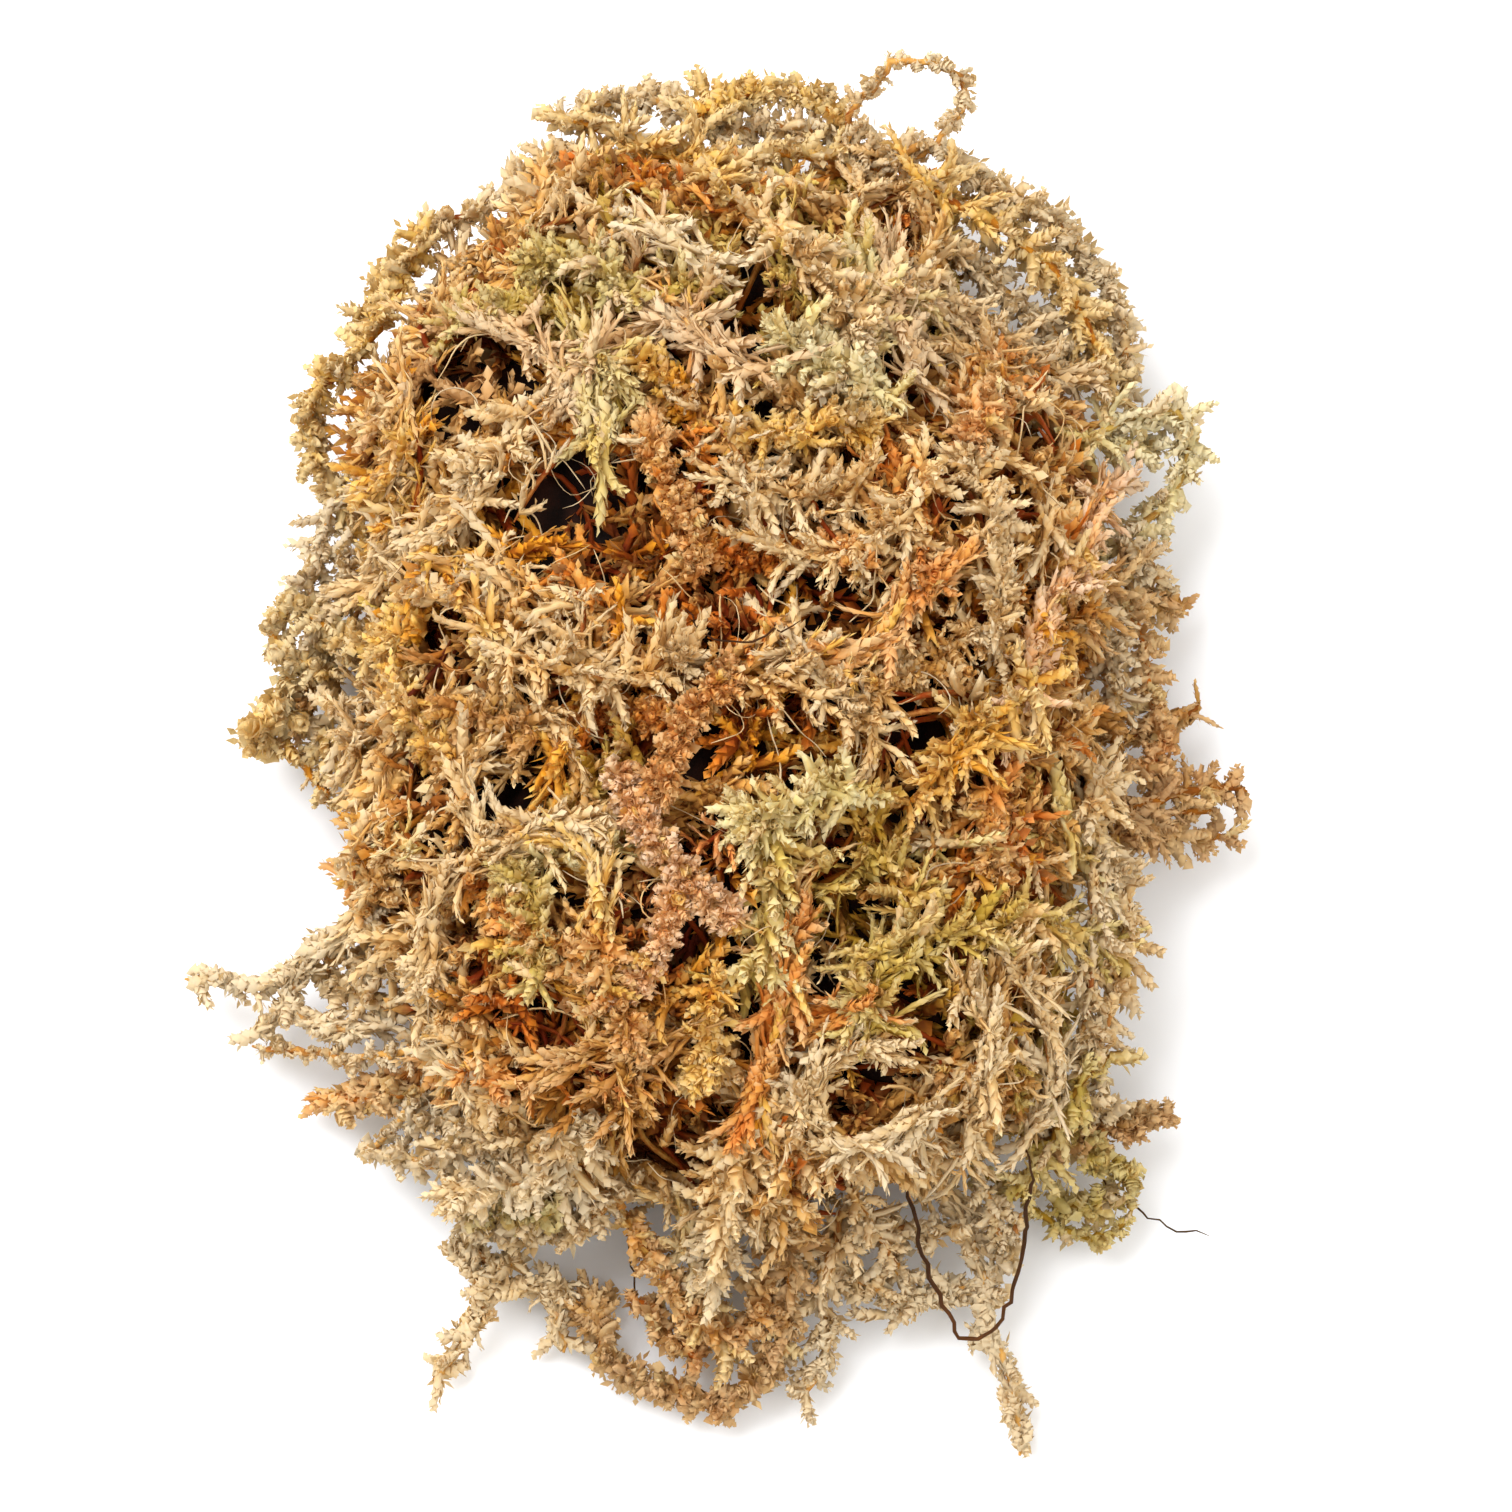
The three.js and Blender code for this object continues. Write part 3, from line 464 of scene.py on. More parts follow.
class BranchForm:
    """A straight branch, as long as 1, with leaves all round it. For each corner it holds how far
    along it lies, how far off the middle in millimetres, its shade, and the leaf that it is on."""

    def __init__(self, rng, leaves, leaf, width, opening, core, tip_leaves=0.45):
        self.along = []
        self.across = []
        self.shades = []
        self.leaf = []
        self.faces = []
        self.core = core
        self.add_core()
        for i in range(leaves):
            start = FIRST_LEAF + LEAFY_SHARE * (i + rng.uniform(-0.4, 0.4)) / leaves
            size = np.interp(start, [0, 0.25, 0.6, 1], [0.75, 1, 0.9, tip_leaves])
            size *= rng.uniform(0.7, 1.25)
            angle = math.radians(opening * rng.uniform(0.3, 1.3))
            if rng.random() < ODD_LEAVES:
                angle += ODD_OPENING
            turn = GOLDEN * i + rng.uniform(-0.5, 0.5)
            self.add_leaf(rng, i + 1, start, turn, leaf * size, width * size, angle)
        self.along = np.array(self.along)
        self.across = np.array(self.across)
        self.shades = np.array(self.shades)
        self.leaf = np.array(self.leaf)
        self.faces = np.array(self.faces)

    def corner(self, along, across, shade, leaf):
        """Adds a corner and gives its number."""
        self.along.append(along)
        self.across.append(across)
        self.shades.append(shade)
        self.leaf.append(leaf)
        return len(self.along) - 1

    def core_radius(self, along):
        """How thick the branch is under its leaves, this far along it."""
        return self.core * np.interp(along, [0, 0.3, 0.7, 1], [0.8, 1, 0.75, 0])

    def add_core(self):
        """The three-sided branch under the leaves, which runs out in a point."""
        rings = []
        for along in (0, 0.35, 0.72):
            radius = self.core_radius(along)
            turns = [2 * math.pi * k / 3 for k in range(3)]
            ring = [(radius * math.cos(a), radius * math.sin(a)) for a in turns]
            rings.append([self.corner(along, p, CORE_SHADE, 0) for p in ring])
        for low, high in zip(rings, rings[1:]):
            for k in range(3):
                after = (k + 1) % 3
                self.faces += [[low[k], low[after], high[after]], [low[k], high[after], high[k]]]
        tip = self.corner(0.97, (0, 0), CORE_TIP_SHADE, 0)
        self.faces += [[rings[-1][k], rings[-1][(k + 1) % 3], tip] for k in range(3)]

    def add_leaf(self, rng, number, start, turn, leaf, width, angle):
        """A pointed leaf, folded along its middle, with its edges closer to the branch."""
        out = np.array([math.cos(turn), math.sin(turn)])
        side = np.array([-math.sin(turn), math.cos(turn)])
        core = self.core_radius(start)
        clear = 0.05
        belly = core + WIDEST * leaf * math.sin(angle) - FOLD * width + clear
        reach = leaf * math.cos(angle) / BRANCH_LENGTH
        middle = start + WIDEST * reach
        tip_off = out * (core + leaf * math.sin(angle)) + side * rng.uniform(-0.3, 0.3) * width
        # The leaf's foot carries painted shade.
        low = self.corner(start, out * core * 0.8, FOOT_PAINTED_SHADE, number)
        right = self.corner(middle, out * belly + side * width / 2, RIGHT_SHADE, number)
        left = self.corner(middle, out * belly - side * width / 2, LEFT_SHADE, number)
        tip = self.corner(start + reach, tip_off, TIP_SHADE, number)
        self.faces += [[low, right, tip], [low, tip, left]]


def branch_forms():
    """The kinds of branch, with a few forms of each: how many leaves it has, how long and wide they
    are, the angle at which they stand off it in degrees, and how thick it is under them."""
    rng = np.random.default_rng(SEED)
    kinds = {
        "close": dict(leaves=18, leaf=2.5, width=1.25, opening=6, core=0.7),
        "open": dict(leaves=16, leaf=2.1, width=1.0, opening=16, core=0.56),
        "plump": dict(leaves=17, leaf=2.2, width=1.4, opening=7, core=0.9, tip_leaves=0.75),
        "antler": dict(leaves=9, leaf=2.6, width=1.0, opening=21, core=0.78),
        "thin": dict(leaves=9, leaf=2.6, width=0.7, opening=7, core=0.36),
        "plain": dict(leaves=9, leaf=3.2, width=1.8, opening=20, core=0.5),
        "fibre": dict(leaves=5, leaf=2.4, width=0.7, opening=10, core=0.34),
    }
    return {
        kind: [BranchForm(rng, **form) for _ in range(FORMS_EACH)]
        for kind, form in kinds.items()
    }


FORMS = branch_forms()

# How far chance bends a branch in its middle and at its tip.
SWERVE = 0.55
HOOK = 0.95
# How far chance tilts a leaf to the light, and changes its shade and its turn.
LEAF_TILT = 0.12
LEAF_SHADES = 0.04
LEAF_TURNS = 0.08
# A branch grows paler from its foot to its tip, about its middle: its pale tip is the moss's own bleached
# tip, and its darker foot, deep among the others, is painted shade. Its sides differ in turn.
PALE_TIP_AND_SHADED_FOOT = 0.3
BRANCH_MIDDLE = 0.45
EDGE_TURN = 0.03


class Branches:
    """Branches waiting to be bent along their curves: the four points that steer each one, the side
    that it bends about, and how thick, how pale and how far turned to the second colour it is."""

    def __init__(self, rng, overlying=None):
        self.rng = rng
        self.waiting = {kind: [] for kind in FORMS}
        self.overlying = overlying

    def add(self, kind, foot, way, aim, length, thick, shade, turn):
        """Branches of one kind, each leaving its foot one way and ending up in its aim."""
        third = length[:, None] / 3
        first = foot + way * third
        second = first + unit(way + aim + SWERVE * scattered(self.rng, len(foot))) * third
        tip = second + unit(aim + HOOK * scattered(self.rng, len(foot))) * third
        points = np.stack([foot, first, second, tip], 1)
        points[:, 1:] = kept_clear(points[:, 1:])
        hint = 1e-4
        side = unit(np.cross(way, aim) + hint * np.roll(way, 1, axis=1))
        self.waiting[kind].append((points, side, thick, shade, turn))

    def add_kinds(self, picks, *values):
        """Branches of several kinds. Each pick is a kind and which of the values it takes."""
        for kind, chosen in picks:
            self.add(kind, *(v[chosen] for v in values))

    def grow(self, tangle):
        """Bends every waiting branch along its curve and adds its triangles to a piece."""
        rng = self.rng
        for kind, batches in self.waiting.items():
            if not batches:
                continue
            points, side, thick, shade, turn = (np.concatenate(f) for f in zip(*batches))
            inside = ((points > LOW) & (points < HIGH)).all((1, 2))
            if self.overlying:
                inside &= ~in_hole(points).any(1) & ~in_bite(points).any(1)
                inside &= ~self.overlying.covered_by(points)
            form_of = rng.integers(len(FORMS[kind]), size=len(points))
            for number, form in enumerate(FORMS[kind]):
                chosen = inside & (form_of == number)
                if chosen.any():
                    grow_form(tangle, form, points[chosen], side[chosen], thick[chosen],
                              shade[chosen], turn[chosen], rng)


# Dark gaps between the strands on top: x, y and reach.
HOLES = [
    (7, 9, 4), (-13, 47, 4.5), (27, 42, 4), (28, -9, 5), (26, -14, 3.5), (-14, -75, 5), (-6, -76, 4),
    (15, -78, 4), (21, -76, 4), (-7, -43, 3.5), (24, -27, 4), (-25, -7, 2.5), (29, -57, 3.5),
    (-19, 19, 3), (-25, -56, 3.5), (47, 36, 3), (-21, 40, 4.5), (-19, 26, 2.5), (-2, -87, 4),
]
# How deep under the skin a gap reaches, and how low on the clump.
HOLE_BED = -4.5
HOLE_FLOOR = 12
# Small gaps open where two slow waves meet above this.
CHANCE_HOLES = 0.9


def in_hole(points):
    """Whether points lie in a gap: one of the named ones, or a small one that chance left."""
    x, y = points[..., 0], points[..., 1]
    inside = np.zeros(x.shape, bool)
    for hole_x, hole_y, reach in HOLES:
        inside |= np.hypot(x - hole_x, y - hole_y) < reach
    chance = np.sin(0.41 * x + 1.6 * np.sin(0.23 * y)) * np.sin(0.37 * y + 1.4 * np.sin(0.29 * x))
    inside |= chance > CHANCE_HOLES
    return inside & (skin_distance(points) > HOLE_BED) & (points[..., 2] > HOLE_FLOOR)


# Hollows in the clump's outline, on its sides: x, y and reach.
BITES = [
    (-63, -26, 6), (-61, -17, 4), (-62, -34, 4), (-21, -93, 8), (-12, -89, 5), (68, -30, 4), (66, -48, 5),
    (68, 31, 3), (67, 55, 4),
]


def in_bite(points):
    """Whether points lie in a hollow of the outline."""
    inside = np.zeros(points.shape[:-1], bool)
    for x, y, reach in BITES:
        inside |= np.hypot(points[..., 0] - x, points[..., 1] - y) < reach
    return inside


def kept_clear(points):
    """Steering points moved out of the floor, and out of the heart where they are deep in it."""
    deepest = -8
    lowest = 0.9
    flat = points.reshape(-1, 3)
    deep = skin_distance(flat) < deepest
    if deep.any():
        flat[deep] = off_skin(flat[deep], deepest)
    flat[:, 2] = np.maximum(flat[:, 2], lowest)
    return flat.reshape(points.shape)


def grow_form(tangle, form, points, side, thick, shade, turn, rng):
    """Copies of one form, each bent along its own curve."""
    count = len(points)
    t = form.along[None, :, None]
    a, b, c, d = (points[:, k][:, None, :] for k in range(4))
    middle = a * (1 - t) ** 3 + b * (3 * t * (1 - t) ** 2) + c * (3 * t * t * (1 - t)) + d * t ** 3
    along = unit((b - a) * (1 - t) ** 2 + (c - b) * (2 * t * (1 - t)) + (d - c) * t * t)
    first = side[:, None, :]
    first = unit(first - dots(first, along) * along)
    second = np.cross(along, first)
    roll = rng.uniform(0, 2 * math.pi, (count, 1, 1))
    off = form.across[None] * thick[:, None, None]
    first_off = off[..., :1] * np.cos(roll) - off[..., 1:] * np.sin(roll)
    second_off = off[..., :1] * np.sin(roll) + off[..., 1:] * np.cos(roll)
    places = middle + first * first_off + second * second_off
    forward = 0.02
    round_out = unit(first * first_off + second * second_off + forward * along)
    leaves = form.leaf.max() + 1
    tilt = LEAF_TILT * rng.normal(size=(count, leaves, 3))[:, form.leaf]
    normals = unit(round_out + tilt)
    leaf_shade = rng.uniform(-LEAF_SHADES, LEAF_SHADES, (count, leaves))[:, form.leaf]
    leaf_turn = rng.uniform(-LEAF_TURNS, LEAF_TURNS, (count, leaves))[:, form.leaf]
    # Painted shade at a branch's foot, and a paler tip as the real moss has.
    pale_tip_and_shaded_foot = PALE_TIP_AND_SHADED_FOOT * (form.along - BRANCH_MIDDLE)
    shades = form.shades + pale_tip_and_shaded_foot + shade[:, None] + leaf_shade
    edge = EDGE_TURN * np.sign(form.across[:, 0])
    turns = turn[:, None] + leaf_turn + edge
    steps = (np.arange(count) * len(form.along))[:, None, None]
    faces = (form.faces[None] + steps).reshape(-1, 3)
    tangle.add(places.reshape(-1, 3), faces, shades.ravel(), turns.ravel(), normals.reshape(-1, 3))


# ------------------------------------------------------------------ stems

def ring_walls(rings, sides):
    """The triangles of a tube, between each ring of corners and the next."""
    row = np.arange(rings - 1)[:, None] * sides
    side = np.arange(sides)
    low = row + side
    after = row + (side + 1) % sides
    walls = np.stack([low, after, after + sides, low, after + sides, low + sides], -1)
    return walls.reshape(-1, 3)


def frames_along(path):
    """For each point of a path, the way it runs and two ways across it, without a twist."""
    along = unit(np.gradient(path, axis=0))
    start = np.cross(along[0], [0.3, 0.5, 0.8])
    across = [start / np.linalg.norm(start)]
    for way in along[1:]:
        turned = across[-1] - way * (across[-1] @ way)
        across.append(turned / np.linalg.norm(turned))
    across = np.array(across)
    return along, across, np.cross(along, across)


# A stem's flutes run along it, with knots on them, and wind round it.
FLUTES = 0.28
KNOTS = 0.15
WINDING = 4
# How blunt its ends are, and how fast it reaches its full thickness.
BLUNT = 0.35
TAPER = 6
STEM_SHADES = 0.12
STEM_TURNS = 0.08


def add_stem(tangle, path, radius, shade, turn, rng, sides=5):
    """A fluted, twisting stem along a path, which tapers to both ends."""
    _, first, second = frames_along(path)
    share = np.linspace(0, 1, len(path))[:, None]
    angle = 2 * math.pi * np.arange(sides) / sides + rng.uniform(0, 6) + WINDING * share
    flutes = 1 + FLUTES * rng.uniform(-1, 1, (1, sides))
    flutes = flutes + KNOTS * rng.uniform(-1, 1, (len(path), sides))
    taper = np.minimum(1, BLUNT + TAPER * np.minimum(share, 1 - share))
    reach = radius * flutes * taper
    ring = first[:, None] * np.cos(angle)[..., None] + second[:, None] * np.sin(angle)[..., None]
    places = (path[:, None] + ring * reach[..., None]).reshape(-1, 3)
    last = len(places) - sides
    caps = [[0, k + 1, k] for k in range(1, sides - 1)]
    caps += [[last, last + k, last + k + 1] for k in range(1, sides - 1)]
    faces = np.vstack([ring_walls(len(path), sides), caps])
    shades = shade + rng.uniform(-STEM_SHADES, STEM_SHADES, (len(path), sides))
    turns = turn + rng.uniform(-STEM_TURNS, STEM_TURNS, (len(path), sides))
    tangle.add(places, faces, shades.ravel(), turns.ravel(), ring.reshape(-1, 3))


# How the branches of a stem stand: a bunch every few millimetres, with some branches that spread
# and some that hug the stem, their least and most length, the angles in degrees at which the
# spreading ones leave it, how far chance curls them, how thick they are, and their kinds.
HABITS = {
    "rope": dict(every=2.2, spread=1, hug=3, length=(8, 12), lean=(20, 45), curl=0.6, thick=1.15,
                 kinds=("close", "fibre", "close", "thin")),
    "feather": dict(every=2.4, spread=2, hug=1, length=(7, 11), lean=(35, 70), curl=0.7, thick=1.1,
                    kinds=("close", "plump", "open", "close")),
    "fingers": dict(every=2.4, spread=3, hug=1, length=(6, 10), lean=(35, 75), curl=0.7, thick=1.25,
                    kinds=("plump", "antler", "plump", "close")),
    "tuft": dict(every=1.9, spread=3, hug=1, length=(4, 7.5), lean=(40, 90), curl=1.1, thick=1.1,
                 kinds=("antler", "close", "plump")),
    "wisp": dict(every=2.2, spread=2, hug=1, length=(3, 5.5), lean=(30, 65), curl=0.8, thick=0.95,
                 kinds=("close", "thin", "close")),
    "column": dict(every=1.3, spread=4, hug=0, length=(2.6, 4.4), lean=(55, 100), curl=0.7, thick=1.15,
                   kinds=("plump", "close", "antler")),
    "top": dict(every=2.3, spread=1, hug=2, length=(7, 12), lean=(15, 55), curl=0.6, thick=1.15,
                kinds=("close", "plump", "antler", "thin", "plump", "fibre")),
    "mat": dict(every=3.2, spread=2, hug=1, length=(7, 11), lean=(20, 65), curl=0.8, thick=1.1,
                kinds=("close", "antler", "plump", "close", "plump")),
    "frizz": dict(every=2.5, spread=2, hug=0, length=(5, 9), lean=(30, 85), curl=1.2, thick=0.75,
                  kinds=("thin", "antler", "thin", "close")),
    "under": dict(every=4.2, spread=2, hug=0, length=(9, 13), lean=(30, 70), curl=0.9, thick=1.3,
                  kinds=("plain",)),
}
# Out in the open, at these heights off the skin, the branches are shorter and thicker.
FREE_HEIGHTS = (4.5, 6.5, 15)
FREE_SHARES = (1, 0.8, 0.6)
FREE_THICKNESS = (1, 1.1, 1.25)
# Within this reach of the skin the branches turn away from it.
NEAR_SKIN = 4
TURNED_AWAY = 1.7
# From branch to branch of a bunch, how far round the stem they stand.
BUNCH_STEP = 1.7
HUGGING_LENGTH = 0.85
# Deep in the clump the branches are darker, between these heights, as painted shade, and raised ones paler;
# the hugging ones, tucked under the spreading ones, get painted shade too.
PAINTED_SHADE_BY_HEIGHT = 0.055
PAINTED_SHADE_HEIGHTS = (-8, 5)
HUGGING_PAINTED_SHADE = 0.06
BRANCH_SHADES = 0.13
BRANCH_TURNS = 0.2
# Some branches have nearly all of the second colour.
ODD_BRANCHES = 0.06
ODD_TURN = 0.9


def add_branches(branches, path, habit, shade, turn, rng):
    """The bunches of branches along a stem. By the heart they turn away from it."""
    h = HABITS[habit]
    length = np.linalg.norm(np.diff(path, axis=0), axis=1).sum()
    bunches = max(2, round(length / h["every"]))
    each = h["spread"] + h["hug"]
    count = bunches * each
    bunch = np.repeat(np.arange(bunches), each)
    hugging = np.tile(np.arange(each) >= h["spread"], bunches)
    along, first, second = frames_along(path)
    place = (bunch + rng.uniform(0.2, 0.8, count)) / bunches * (len(path) - 1)
    at = place.astype(int).clip(0, len(path) - 2)
    share = (place - at)[:, None]
    foot = path[at] * (1 - share) + path[at + 1] * share
    heading = along[at]
    in_bunch = np.tile(np.arange(each), bunches)
    angle = GOLDEN * bunch + rng.uniform(-0.5, 0.5, count) + in_bunch * BUNCH_STEP
    spoke = first[at] * np.cos(angle)[:, None] + second[at] * np.sin(angle)[:, None]
    out = outward(foot)
    height = skin_distance(foot)
    inward = dots(spoke, out)
    facing = (height[:, None] < NEAR_SKIN) & (inward < -0.15)
    spoke = unit(np.where(facing, spoke - TURNED_AWAY * inward * out, spoke))
    lean = np.radians(rng.uniform(*h["lean"], count))[:, None]
    way = unit(spoke * np.sin(lean) + heading * np.cos(lean))
    aim = unit(way + h["curl"] * scattered(rng, count) + 0.25 * spoke)
    hug_way = unit(0.75 * spoke - heading)
    hug_aim = unit(-heading + 0.3 * scattered(rng, count) - 0.1 * spoke)
    way = np.where(hugging[:, None], hug_way, way)
    aim = np.where(hugging[:, None], hug_aim, aim)
    long = rng.uniform(*h["length"], count) * np.where(hugging, HUGGING_LENGTH, 1)
    long *= np.interp(height, FREE_HEIGHTS, FREE_SHARES)
    thick = h["thick"] * rng.uniform(0.75, 1.25, count)
    thick *= np.interp(height, FREE_HEIGHTS, FREE_THICKNESS)
    # Painted shade: darker for hugging branches and for branches that lie deep in the clump.
    shades = shade + rng.uniform(-BRANCH_SHADES, BRANCH_SHADES, count) - HUGGING_PAINTED_SHADE * hugging
    shades += PAINTED_SHADE_BY_HEIGHT * height.clip(*PAINTED_SHADE_HEIGHTS)
    odd = rng.random(count) < ODD_BRANCHES
    turns = np.where(odd, ODD_TURN, turn + rng.uniform(-BRANCH_TURNS, BRANCH_TURNS, count))
    kinds = np.array(h["kinds"])[rng.integers(len(h["kinds"]), size=count)]
    picks = [(kind, kinds == kind) for kind in np.unique(kinds)]
    branches.add_kinds(picks, foot, way, aim, long, thick, shades, turns)


HEAD_BRANCHES = 22
HEAD_LENGTHS = (4, 7.5)
HEAD_THICKNESSES = (0.85, 1.2)
HEAD_PALER = 0.06


def add_head(branches, path, shade, turn, rng):
    """A head: short branches in all directions round the end of a stem, paler than the rest."""
    count = HEAD_BRANCHES
    heading = unit(path[-1] - path[-3])
    way = unit(scattered(rng, count) + 0.75 * heading + 0.3 * outward(path[-1:])[0])
    foot = path[-1] + rng.uniform(-0.6, 0.6, (count, 3))
    aim = unit(way + 0.5 * scattered(rng, count) + 0.25 * heading)
    long = rng.uniform(*HEAD_LENGTHS, count)
    thick = rng.uniform(*HEAD_THICKNESSES, count)
    shades = shade + HEAD_PALER + rng.uniform(-0.1, 0.12, count)
    turns = turn + rng.uniform(-0.15, 0.15, count)
    half = count // 2
    picks = (("plump", slice(0, half)), ("close", slice(half, count)))
    branches.add_kinds(picks, foot, way, aim, long, thick, shades, turns)


# ------------------------------------------------------------------ the strands of the frame

